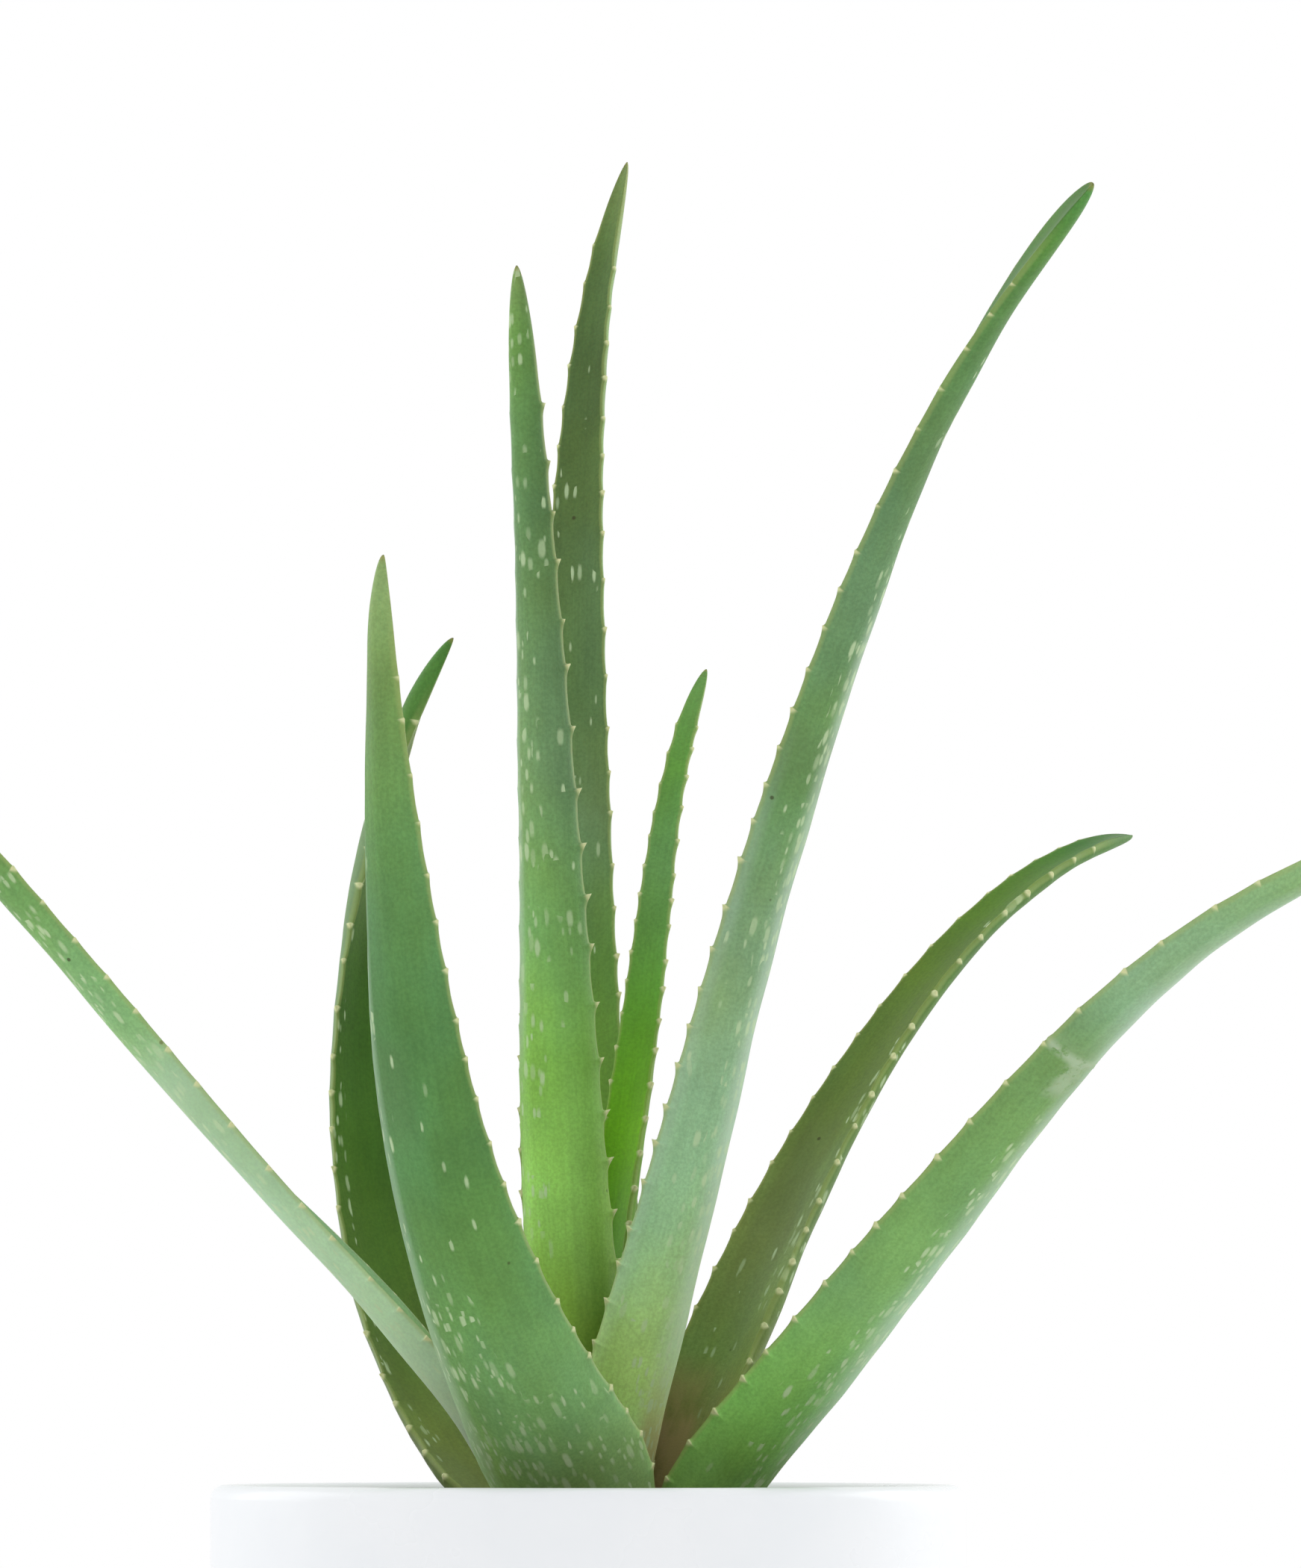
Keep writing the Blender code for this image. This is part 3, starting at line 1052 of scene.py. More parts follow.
    def patches(self, patches: Sequence[Patch], grid: LeafGrid) -> Array:
        """Add up the soft-edged patches of one kind, held between 0 and 1.

        Args:
            patches: The patches of one kind.
            grid: Surface coordinates.

        Returns:
            Strength at each point, rings by points.
        """
        total = np.zeros(grid.right.shape)
        for patch in patches:
            face = ease(0.5 + 2.5 * grid.side * patch.face.value)
            total += (patch.amount * face * window(grid.along, *patch.along, patch.soft * 0.6)
                      * window(grid.right, *patch.across, patch.edge))
        return np.clip(total, 0, 1)

    def grid(self, along: Array, turn: Array) -> LeafGrid:
        """Work out the surface coordinates of every point on the rings.

        Args:
            along: Shares of the length, one for each ring.
            turn: Angles round the section.

        Returns:
            The coordinates: the share across is the angle's cosine, and the side its sine.
        """
        shape = (len(along), len(turn))
        share = np.broadcast_to(np.cos(turn), shape)
        half = np.broadcast_to((self.width_at(along) / 2)[:, None], shape)
        return LeafGrid(along=np.broadcast_to(along[:, None], shape),
                        run=np.broadcast_to((along * self.form.length)[:, None], shape),
                        side=np.broadcast_to(np.sin(turn), shape), share=share,
                        right=share * self.hand(), half=half, rim=(1 - np.abs(share)) * half)

    def push_teeth(self, grid: LeafGrid, points: Array, forward: Array, across: Array,
                   rows: Sequence[Tuple[Teeth, Array, Array]]) -> Tuple[Array, Array]:
        """Draw the margins out into teeth, with shallow hollows between them.

        Args:
            grid: Surface coordinates.
            points: Points before the teeth.
            forward: The leaf's forward direction at each ring.
            across: Its direction across at each ring.
            rows: Each margin's teeth with their places and heights.

        Returns:
            The moved points, and how much of a tooth each point is. A tooth's push dies away
            exponentially from the margin and leans its point forward.
        """
        thorn = self.thorn
        run = grid.run[:, 0]
        reach = np.exp(-grid.rim / thorn.inward_reach)
        tooth = np.zeros(reach.shape)
        for teeth, places, heights in rows:
            this = grid.right * teeth.margin.value > 0
            push = self.tooth_push(run, places, heights)[:, None]
            near = np.exp(-((run[:, None] - places) / thorn.scallop_length) ** 2).sum(1)
            fade = np.exp(-grid.rim / thorn.scallop_reach)
            edge = thorn.scallop * (near[:, None] - thorn.scallop_level) * fade
            out = (push * reach + edge) * this
            points = points + (out * np.sign(grid.share))[..., None] * across[:, None]
            points = points + (thorn.hook * push * reach * this)[..., None] * forward[:, None]
            tooth += push / max(heights.max(), 0.1) * reach * this
        return points, tooth

    def lift(self, grid: LeafGrid, x: Array, scar: Array) -> Array:
        """Height of gentle swelling, lengthwise ridges and the scar above the smooth leaf.

        Args:
            grid: Surface coordinates.
            x: Distance of each point across the section.
            scar: Strength of the scar at each point.

        Returns:
            Heights in millimetres. Swelling fades to nothing at the margins and a ridge is a bell.
        """
        swell = self.swell * ripples(x, grid.run, self.swell_length, 9, self.look.seed)
        wide = np.minimum(1, grid.half / self.swell_full_half)
        lift = swell * wide * np.abs(grid.side) ** 0.5
        for crease in self.look.creases:
            gap = (grid.right - crease.across) * grid.half / crease.reach
            lift += (crease.height * np.exp(-gap**2) * (grid.side < 0)
                     * window(grid.along, *crease.along, 0.12))
        return lift + self.scar_lift * scar * ripples(x, grid.run, self.scar_length, 8, 3)

    def close(self, rings: Array) -> bpy.types.Object:
        """Make the mesh of the rings, with a flat cap at the seat and a fan at the tip.

        Args:
            rings: Points of the rings in millimetres, rows by points by 3.

        Returns:
            The closed piece.
        """
        rows, count = rings.shape[:2]
        tip = self.spine(np.array([1.0]))
        points = np.concatenate([rings.reshape(-1, 3), tip]) * MM
        low = np.arange(1, count // 2 - 1)
        high = count - low
        cap = np.concatenate([
            np.array([[0, count - 1, 1], [count // 2 - 1, count // 2 + 1, count // 2]]),
            np.stack([low, high, high - 1], -1),
            np.stack([low, high - 1, low + 1], -1)])
        end = fan(rows * count, (rows - 1) * count + np.arange(count), True)
        return new_piece(self.name + "_skin", points, ring_faces(rows, count),
                         np.concatenate([cap, end]))

    def tint(self, grid: LeafGrid) -> Array:
        """Colour of every point: stops along each face, with painted shade and light from margin
        to margin.

        Args:
            grid: Surface coordinates.

        Returns:
            Linear colours, rings by points by three.
        """
        look, along = self.look, grid.along[:, 0]
        inner = ease(0.5 + 3.0 * grid.side)[..., None]
        tint = (along_stops(look.outer, along)[:, None] * (1 - inner)
                + along_stops(look.inner, along)[:, None] * inner)
        # painted shade and light: each margin made darker or lighter than the middle
        tone = np.interp(grid.right, (-1.0, 0.0, 1.0), (look.tone[0], 1.0, look.tone[1]))
        return tint * tone[..., None]

    def build(self) -> bpy.types.Object:
        """Make the leaf's closed mesh and store its marks on it.

        Returns:
            The leaf object, without a material. Rings of the section follow the middle line,
            pushed out by teeth, ridges and gentle swelling, and end in one tip point.
        """
        look = self.look
        rows = [(teeth, *self.tooth_places(teeth, look.seed * 10 + i))
                for i, teeth in enumerate(look.teeth)]
        along = self.stations(np.concatenate([places for _, places, _ in rows]))
        turn = 2 * np.pi * np.arange(self.around) / self.around
        forward, across, inward = self.directions(along)
        x, y = self.section(along, turn)
        points = (self.spine(along)[:, None] + x[..., None] * across[:, None]
                  + y[..., None] * inward[:, None])
        normal = outward(points)

        grid = self.grid(along, turn)
        scar = self.patches(look.scars, grid)
        points, tooth = self.push_teeth(grid, points, forward, across, rows)
        points = points + self.lift(grid, x, scar)[..., None] * normal
        piece = self.close(points)

        tint = self.tint(grid)
        give(piece, "tint", np.concatenate([tint.reshape(-1, 3), tint[-1].mean(0)[None]]))
        length = self.form.length
        for name, values, at_tip in (
                ("across_mm", grid.share * grid.half, 0.0),
                ("along_mm", grid.run, length),
                ("rim_mm", grid.rim, 0.0),
                ("tip_mm", length - grid.run, 0.0),
                ("tooth", np.clip(tooth, 0, 1), 0.0),
                ("fleck", self.patches(look.flecks, grid), 0.0),
                ("bloom_and_highlight", self.patches(look.bloom_and_highlight, grid), 0.0),
                ("painted_shade", self.patches(look.painted_shade, grid), 0.0),
                ("dry", self.patches(look.dry, grid), 0.0),
                ("scar", scar, 0.0)):
            give(piece, name, np.append(values.ravel(), at_tip))
        return piece

    def add(self, skin: LeafSkin) -> bpy.types.Object:
        """Build, dress and attach the leaf in place of its node.

        Args:
            skin: The finish of all the leaves.

        Returns:
            The attached leaf.
        """
        piece = self.build()
        slot = self.name.replace("leaf_", "green_")
        skin.dress(piece, slot + "_skin", self.look.seed)
        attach(piece, ROOT)
        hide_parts(self.name)
        return piece


OUTER_GREEN: Stops = ((0.0, 0x8C9A62), (0.1, 0x729356), (0.3, 0x6E9C5E), (0.6, 0x68965C),
                      (0.9, 0x6C9450), (1.0, 0x94A36A))
OUTER_OLIVE: Stops = ((0.0, 0x8C9258), (0.12, 0x6A8042), (0.4, 0x5F7F3E), (0.8, 0x557E3C),
                      (1.0, 0x4E8038))
INNER_GREEN: Stops = ((0.0, 0x8C9258), (0.12, 0x66813F), (0.4, 0x5C803F), (0.8, 0x608648),
                      (1.0, 0x8C9C62))


def both(spacing: Tuple[float, float], left: Tuple[float, float], right: Tuple[float, float],
         ) -> Tuple[Teeth, Teeth]:
    """Teeth of both margins with one spacing and a height for each margin."""
    return (Teeth(Margin.LEFT, spacing, left), Teeth(Margin.RIGHT, spacing, right, first=15.0))


# Leaf colour stops: the leaf's own colour, lightened near the seat as painted light that offsets
# the shade there.
LEAVES: Tuple[Leaf, ...] = (
    Leaf("leaf_front_left",
         LeafForm(seat=(256, 22.5), length=232, width=46.0, thickness=8.0, neck=0.75,
                  width_at_tip=0.1, lean=(47.5, 28.5, 8, 0), heading=(246, 233, 230, 196),
                  twist=(3, -9), wrap=(38, 25, 35)),
         LeafLook(seen=Face.OUTER, seed=1,
                  # painted light: the stops near the seat are lightened against the shade under
                  # the rim
                  outer=((0.0, 0x7C7F52), (0.1, 0x96C47A), (0.2, 0x80B073), (0.33, 0x679859),
                         (0.45, 0x598B51), (0.6, 0x54834A), (0.75, 0x63945E), (0.87, 0x719758),
                         (1.0, 0x8DAA6F)),
                  inner=INNER_GREEN,
                  teeth=both((8.5, 10.0), (0.8, 0.4), (0.9, 0.35)),
                  flecks=(Patch((0.08, 0.27), (-0.6, 0.1), 0.85, soft=0.2),
                          Patch((0.06, 0.2), (0.1, 0.85), 0.4),
                          Patch((0.3, 0.9), (-0.75, -0.5), 0.2),
                          Patch((0.3, 0.6), (-0.4, 0.6), 0.03)),
                  # chalky haze and painted highlight on the strip left of the crease
                  bloom_and_highlight=(Patch((0.18, 0.66), (-1.2, -0.47), 0.22, edge=0.06),),
                  # painted shade: a short dark patch mid-leaf and a darker seat
                  painted_shade=(Patch((0.5, 0.56), (-0.35, 0.05), 0.16, soft=0.05),
                        Patch((0.0, 0.13), (0.0, 0.9), 0.3)),
                  creases=(Crease(-0.45, 0.4, 1.2), Crease(0.35, 0.15, 3.0)),
                  # painted shade: the left margin a little darker
                  tone=(0.95, 1.0))),
    Leaf("leaf_back_left",
         LeafForm(seat=(142, 16.5), length=233, width=33.5, thickness=8.5, neck=0.45,
                  width_at_tip=0.12, lean=(51.5, 23, -4.5, -32), heading=(126, 138, 126, 158),
                  twist=(-27, 40), wrap=(35, 25, 35)),
         LeafLook(seen=Face.INNER, seed=2,
                  outer=OUTER_OLIVE,
                  inner=((0.0, 0x6E7440), (0.2, 0x6F8745), (0.38, 0x557B32), (0.5, 0x4B762B),
                         (0.66, 0x3E6422), (0.85, 0x5A7A3C), (1.0, 0xB5C597)),
                  teeth=both((9.0, 10.0), (1.0, 0.7), (0.9, 0.5)),
                  flecks=(Patch((0.05, 0.5), (-0.8, 0.8), 0.3),
                          Patch((0.2, 0.9), (-0.98, -0.8), 0.3, Face.INNER)),
                  bloom_and_highlight=(Patch((0.3, 0.8), (-0.9, 0.9), 0.2),))),
    Leaf("leaf_far_left",
         LeafForm(seat=(210, 15.5), length=222, width=25.0, thickness=4.5, neck=0.9,
                  width_at_tip=0.32, lean=(32.5, 43.5, 42.5, 41), heading=(201, 192, 197, 190),
                  twist=(-11, 27), wrap=(38, 25, 35)),
         LeafLook(seen=Face.OUTER, seed=3,
                  outer=((0.0, 0x9DA878), (0.15, 0x9DB98F), (0.3, 0xADDB9C), (0.55, 0x8CBF84),
                         (0.7, 0x87B77B), (0.85, 0x74A768), (1.0, 0x8AA468)),
                  inner=((0.0, 0x8CA068), (0.3, 0x84B07A), (0.7, 0x74A266), (1.0, 0x7EA060)),
                  teeth=both((9.0, 12.0), (0.6, 0.4), (0.7, 0.5)),
                  flecks=(Patch((0.3, 0.97), (-0.2, 0.7), 0.6),),
                  bloom_and_highlight=(Patch((0.1, 0.6), (-0.6, 1.2), 0.45),))),
    Leaf("leaf_centre_tall",
         LeafForm(seat=(236, 6.5), length=280, width=26.0, thickness=6.5, neck=0.6,
                  width_at_tip=0.18, lean=(8.5, 5, 4.5, 8.5), heading=(236, 239, 234, 244),
                  twist=(16, -2), wrap=(45, 25, 30)),
         LeafLook(seen=Face.OUTER, seed=4,
                  outer=((0.0, 0x9AA45E), (0.16, 0x8BB252), (0.3, 0xA0DA6A), (0.4, 0x86BE58),
                         (0.5, 0x7FB66F), (0.62, 0x789F6D), (0.75, 0x698F5D), (0.87, 0x64915B),
                         (0.95, 0x6C9B52), (1.0, 0x80A05F)),
                  inner=INNER_GREEN,
                  teeth=both((10.0, 12.5), (0.5, 0.3), (2.1, 0.7)),
                  flecks=(Patch((0.3, 0.97), (-0.85, -0.15), 0.42),
                          Patch((0.5, 0.95), (-0.3, 0.7), 0.2)),
                  # painted highlight along the left margin near the top
                  bloom_and_highlight=(Patch((0.45, 0.9), (-1.2, -0.7), 0.4),),
                  # painted shade down the left margin, low on the leaf
                  painted_shade=(Patch((0.1, 0.45), (-1.2, -0.75), 0.25),),
                  # painted shade: the right side much darker
                  tone=(1.05, 0.66))),
    Leaf("leaf_back_tall",
         LeafForm(seat=(94, 7.0), length=338, width=34.5, thickness=6.0, neck=0.45,
                  width_at_tip=0.11, lean=(18.5, 18, 8, 31.5), heading=(106, 94, 82, 65),
                  twist=(-13, -6), wrap=(45, 25, 30)),
         LeafLook(seen=Face.INNER, seed=5,
                  outer=OUTER_GREEN,
                  inner=((0.0, 0x8C9A50), (0.2, 0x6E9E3B), (0.42, 0x628F42), (0.52, 0x6C8C62),
                         (0.6, 0x5D7E4C), (0.7, 0x597749), (0.85, 0x4B6535), (0.93, 0x5A783F),
                         (1.0, 0x748C52)),
                  teeth=both((10.5, 10.5), (0.8, 0.4), (1.0, 0.5)),
                  flecks=(Patch((0.05, 0.5), (-0.8, 0.8), 0.25),
                          Patch((0.5, 0.97), (-0.95, -0.5), 0.1, Face.INNER),
                          Patch((0.5, 0.8), (0.0, 0.8), 0.07, Face.INNER)),
                  bloom_and_highlight=(Patch((0.4, 0.9), (-0.9, 0.9), 0.2),))),
    Leaf("leaf_young",
         LeafForm(seat=(32, 3.5), length=219, width=15.0, thickness=4.5, neck=0.55,
                  width_at_tip=0.22, lean=(-6.5, 10.5, 22.5, 48.5), heading=(38, 47, 74, 71),
                  twist=(8, 12), wrap=(45, 30, 30)),
         LeafLook(seen=Face.INNER, seed=6,
                  outer=((0.0, 0x9AA85C), (0.2, 0x7BAA48), (0.6, 0x6C9C4C), (1.0, 0x86A058)),
                  inner=((0.0, 0x86A048), (0.2, 0x579030), (0.45, 0x79BE27), (0.58, 0x63A038),
                         (0.72, 0x679B5F), (0.85, 0x5F963E), (1.0, 0x64934A)),
                  teeth=both((7.0, 8.0), (0.8, 0.3), (1.1, 0.4)),
                  flecks=(Patch((0.2, 0.8), (-0.6, 0.6), 0.12),))),
    Leaf("leaf_tall_right",
         LeafForm(seat=(274, 11.5), length=331, width=23.0, thickness=6.5, neck=0.6,
                  width_at_tip=0.36, lean=(20, 17.5, 35.5, 62.5), heading=(312, 324, 302, 303),
                  twist=(-5, 63), wrap=(42, 25, 30)),
         LeafLook(seen=Face.OUTER, seed=7,
                  outer=((0.0, 0xA89E70), (0.12, 0xBCE796), (0.24, 0x99C494), (0.36, 0x91B88F),
                         (0.45, 0x7DA483), (0.53, 0x6D9B5F), (0.66, 0x6D9367), (0.8, 0x628B5D),
                         (0.95, 0x5A8C3E), (1.0, 0x59984C)),
                  inner=((0.0, 0x8C9258), (0.12, 0x66813F), (0.6, 0x4E7C3A), (1.0, 0x4C7A36)),
                  teeth=both((9.0, 11.0), (1.6, 0.7), (0.9, 0.5)),
                  flecks=(Patch((0.04, 0.62), (-0.15, 0.3), 0.8),
                          Patch((0.08, 0.6), (0.2, 0.6), 1.7),
                          Patch((0.55, 0.9), (-0.2, 0.85), 0.35),
                          Patch((0.2, 0.5), (-0.8, -0.2), 0.1)),
                  # painted highlight: the pale right side that catches the light, over real haze
                  bloom_and_highlight=(Patch((0.18, 0.62), (0.3, 1.2), 0.55, edge=0.5),
                         Patch((0.2, 0.5), (-1.2, -0.9), 0.2)),
                  # painted shadow: a thin band across the whole leaf
                  painted_shade=(Patch((0.535, 0.56), (-1.2, 1.2), 0.2, soft=0.04),),
                  dry=(Patch((0.0, 0.08), (0.1, 1.2), 0.8),))),
    Leaf("leaf_mid_right",
         LeafForm(seat=(28, 13.0), length=234, width=28.0, thickness=6.5, neck=0.85,
                  width_at_tip=0.14, lean=(23.5, 31, 44, 85.5), heading=(36, 37, 31, 63),
                  twist=(13, 9), wrap=(38, 25, 30)),
         LeafLook(seen=Face.INNER, seed=8,
                  outer=OUTER_OLIVE,
                  inner=((0.0, 0xA89870), (0.08, 0xA0945C), (0.22, 0x7B9854), (0.35, 0x80965B),
                         (0.5, 0x63803F), (0.65, 0x5C7A29), (0.8, 0x507B25), (0.9, 0x326F15),
                         (1.0, 0x43722A)),
                  teeth=both((8.5, 9.5), (0.9, 0.5), (0.9, 0.6)),
                  flecks=(Patch((0.08, 0.3), (-0.7, 0.7), 0.08, Face.INNER),
                          Patch((0.3, 0.75), (0.7, 0.98), 0.4, Face.INNER),
                          Patch((0.1, 0.8), (-0.8, 0.98), 0.3)),
                  # painted shade on the inner face
                  painted_shade=(Patch((0.3, 0.45), (-0.6, 0.4), 0.25, Face.INNER),),
                  dry=(Patch((0.0, 0.14), (-1.2, -0.1), 1.0, Face.INNER),))),
    Leaf("leaf_far_right",
         LeafForm(seat=(334, 19.0), length=233, width=36.0, thickness=8.0, neck=0.8,
                  width_at_tip=0.2, lean=(42, 47.5, 48.5, 70.5), heading=(326, 315, 326, 349),
                  twist=(1, -6), wrap=(35, 25, 35)),
         LeafLook(seen=Face.OUTER, seed=9,
                  outer=((0.0, 0x6E7A48), (0.1, 0x7CAC5D), (0.2, 0x84C56C), (0.35, 0x80B478),
                         (0.5, 0x75A468), (0.65, 0x769E5F), (0.75, 0x8AB28E), (0.9, 0x85AC76),
                         (1.0, 0x8FB585)),
                  inner=INNER_GREEN,
                  teeth=both((9.0, 12.0), (1.2, 0.7), (0.8, 0.5)),
                  flecks=(Patch((0.12, 0.52), (-0.2, 0.8), 0.8),
                          Patch((0.08, 0.35), (-0.6, 0.2), 0.12)),
                  # painted highlight along the right margin, over real haze
                  bloom_and_highlight=(Patch((0.2, 1.0), (0.25, 1.2), 0.5, edge=0.5),
                         Patch((0.72, 1.0), (-0.3, 1.2), 0.2)),
                  # painted shade at the seat, on the right
                  painted_shade=(Patch((0.0, 0.12), (0.2, 1.2), 0.3),),
                  scars=(Patch((0.655, 0.657), (-1.2, 0.2), 1.0, soft=0.012),
                         Patch((0.625, 0.645), (-0.35, -0.1), 0.8, soft=0.03)))),
)


# ---------------------------------------------------------------- stem


@dataclass
class Stem:
    """Short woody stem; its node is kept and gets a bark finish."""

    node: str = "stem"
    pale: int = 0x9A8660
    dark: int = 0x55432C

    def dress(self) -> None:
        """Give the stem's own mesh a fibrous bark."""
        bark = Finish("stem_bark_ringed", 0.8)
        place = bark.place()
        fibre = bark.noise(place, 260.0, 6.0, 0.7)
        patch = bark.noise(place, 60.0, 3.0)
        colour = bark.blend(bark.between(fibre, 0.35, 0.65), self.dark, self.pale)
        colour = bark.shade(colour, bark.between(patch, 0.3, 0.7, 0.75, 1.2))
        bark.drive("Base Color", colour)
        bark.drive("Roughness", bark.between(fibre, 0.3, 0.7, 0.9, 0.65))
        bark.relief(fibre, 0.8 * MM, 0.8)
        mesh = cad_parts[self.node].data
        mesh.materials.clear()
        mesh.materials.append(bark.material)


# ---------------------------------------------------------------- potting mix


@dataclass
class PottingMix:
    """Bark and peat mix that fills the pot round the stem, with loose crumbs on top."""

    node: str = "potting_soil"
    rings: int = 150
    around: int = 300
    level_radius: float = 55.0
    edge_drop: float = 1.5
    cover: float = 0.9
    wide_height: float = 0.36
    wide_length: float = 38.0
    fine_height: float = 0.28
    fine_length: float = 9.0
    wall_fade: float = 2.0
    bottom_drop: float = 6.0
    crumbs: int = 900
    crumbs_from: float = 33.0
    crumbs_to_wall: float = 3.0
    crumb_size: Tuple[float, float] = (0.5, 3.1)
    crumb_stretch: Tuple[float, float] = (0.55, 1.25)
    crumb_bumps: float = 0.09
    crumb_tilt: float = 0.12
    crumb_rise: float = 0.35
    chip_share: float = 0.35
    chip_stretch: Tuple[float, float, float] = (1.6, 0.9, 0.45)
    perlite_share: float = 0.16
    seed: int = 21
    peat: int = 0x3B2A1C
    dust: int = 0x6B5338
    bark: int = 0x7A5636
    perlite: int = 0xE4E0D4
    perlite_shade: int = 0xC9C4B4

    def top(self, x: Array, y: Array) -> Array:
        """Height of the surface, in millimetres.

        Args:
            x: Places across the pot.
            y: Places front to back.

        Returns:
            The node's level and the cover over it, less the edge drop at the wall, plus wide
            and fine lumps that fade out at the wall.
        """
        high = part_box(self.node)[1]
        radius = np.hypot(x, y)
        outside = high.x / MM
        drop = self.edge_drop * ease((radius - self.level_radius) / (outside - self.level_radius))
        wide = self.wide_height * ripples(x, y, self.wide_length, 9, self.seed)
        fine = self.fine_height * ripples(x, y, self.fine_length, 14, self.seed + 1)
        edge = ease((outside - radius) / self.wall_fade)
        return high.z / MM + self.cover - drop + edge * (wide + fine)

    def build(self) -> bpy.types.Object:
        """Make the mix as a closed body: rings of the bumpy top, the wall and a flat bottom.

        Returns:
            The closed body.
        """
        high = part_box(self.node)[1]
        outside = high.x / MM
        spread = np.linspace(0, 1, self.rings + 1)[1:] * outside
        turn = 2 * np.pi * np.arange(self.around) / self.around
        x = spread[:, None] * np.cos(turn)
        y = spread[:, None] * np.sin(turn)
        z = self.top(x, y)
        base = high.z / MM - self.edge_drop - self.bottom_drop
        wall = np.stack([x[-1], y[-1], np.full(self.around, base)], -1)[None]
        grid = np.concatenate([np.stack([x, y, z], -1), wall])[::-1]
        middle = np.array([[0, 0, float(self.top(np.zeros(1), np.zeros(1))[0])], [0, 0, base]])
        points = np.concatenate([grid.reshape(-1, 3), middle]) * MM
        rows, count = grid.shape[:2]
        ring = np.arange(count)
        triangles = np.concatenate([fan(rows * count, (rows - 1) * count + ring),
                                    fan(rows * count + 1, ring, True)])
        return new_piece("potting_mix_surface", points, ring_faces(rows, count), triangles)

    def scatter(self) -> bpy.types.Object:
        """Make the loose crumbs: one small rounded lump, turned, stretched and set down often.

        Returns:
            One mesh that holds every crumb. A crumb is a cube of two by two faces a side, drawn
            most of the way to a ball, with its corners moved at random, and it rests on the mix.
        """
        pick = np.random.default_rng(self.seed)
        shape, faces = self.lump()
        count = self.crumbs
        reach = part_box(self.node)[1].x / MM - self.crumbs_to_wall
        radius = np.sqrt(pick.uniform(self.crumbs_from**2, reach**2, count))
        turn = pick.uniform(0, 2 * np.pi, count)
        x, y = radius * np.cos(turn), radius * np.sin(turn)
        least, most = self.crumb_size
        size = pick.uniform(0.5, 1.0, count) ** 3 * (most - least) + least
        stretch = pick.uniform(*self.crumb_stretch, (count, 3)) * size[:, None]
        chip = pick.uniform(0, 1, count) < self.chip_share
        stretch[chip] *= self.chip_stretch
        rough = shape[None] * (1 + pick.normal(0, self.crumb_bumps, (count, len(shape), 1)))
        spin = (pick.uniform(0, 2 * np.pi, (count, 3))
                * (self.crumb_tilt, self.crumb_tilt, 1.0))
        local = rough * stretch[:, None]
        for axis, (one, two) in enumerate(((1, 2), (2, 0), (0, 1))):
            c, s = np.cos(spin[:, axis])[:, None], np.sin(spin[:, axis])[:, None]
            first = local[..., one] * c - local[..., two] * s
            local[..., two] = local[..., one] * s + local[..., two] * c
            local[..., one] = first
        rest = self.top(x, y) + self.crumb_rise * stretch[:, 2]
        points = (local + np.stack([x, y, rest], -1)[:, None]).reshape(-1, 3) * MM
        every = (faces[None] + np.arange(count)[:, None, None] * len(shape)).reshape(-1, 4)
        piece = new_piece("potting_mix_crumbs", points, every)
        kind = np.where(pick.uniform(0, 1, count) < self.perlite_share, 1.0, 0.0)
        give(piece, "perlite", np.repeat(kind, len(shape)))
        give(piece, "pick", np.repeat(pick.uniform(0, 1, count), len(shape)))
        return piece

    @staticmethod
    def lump() -> Tuple[Array, Array]:
        """A rounded cube of 26 points and 24 quads, one unit in radius.

        Returns:
            Its points, and four point numbers a row.
        """
        grid = np.array([(i, j, k) for i in (-1, 0, 1) for j in (-1, 0, 1) for k in (-1, 0, 1)
                         if (i, j, k) != (0, 0, 0)], float)
        number = {tuple(p): n for n, p in enumerate(grid.astype(int).tolist())}
        faces = []
        for axis in range(3):
            for sign in (-1, 1):
                for a in (-1, 0):
                    for b in (-1, 0):
                        corners = [(a, b), (a + 1, b), (a + 1, b + 1), (a, b + 1)]
                        quad = [tuple(np.roll([sign, *corner], axis).tolist())
                                for corner in corners]
                        faces.append([number[q] for q in (quad if sign > 0 else quad[::-1])])
        size = np.linalg.norm(grid, axis=1, keepdims=True)
        return grid / size * 0.7 + grid * 0.3, np.array(faces)

    def dress(self, ground: bpy.types.Object, crumbs: bpy.types.Object) -> None:
        """Give the mix its dark peat with pale grains, and the crumbs bark and perlite.

        Args:
            ground: The mix.
            crumbs: Its crumbs.
        """
        mix = Finish("potting_mix_peat", 0.9)
        place = mix.place()
        clods = mix.noise(place, 170.0, 6.0, 0.7)
        away, pick = mix.cells(place, 420.0)
        colour = mix.blend(mix.between(clods, 0.35, 0.68), self.peat, self.dust)
        grain = mix.sum("MULTIPLY", mix.between(away, 0.36, 0.22),
                        mix.sum("LESS_THAN", mix.parts(pick)[0], 0.09))
        colour = mix.shade(colour, mix.between(mix.parts(pick)[1], 0.0, 1.0, 0.6, 1.3))
        colour = mix.blend(grain, colour, self.perlite)
        mix.drive("Base Color", colour)
        mix.drive("Roughness", mix.between(clods, 0.3, 0.7, 0.98, 0.8))
        mix.relief(mix.sum("MULTIPLY_ADD", away, -0.6, clods), 1.2 * MM, 0.9)
        ground.data.materials.append(mix.material)

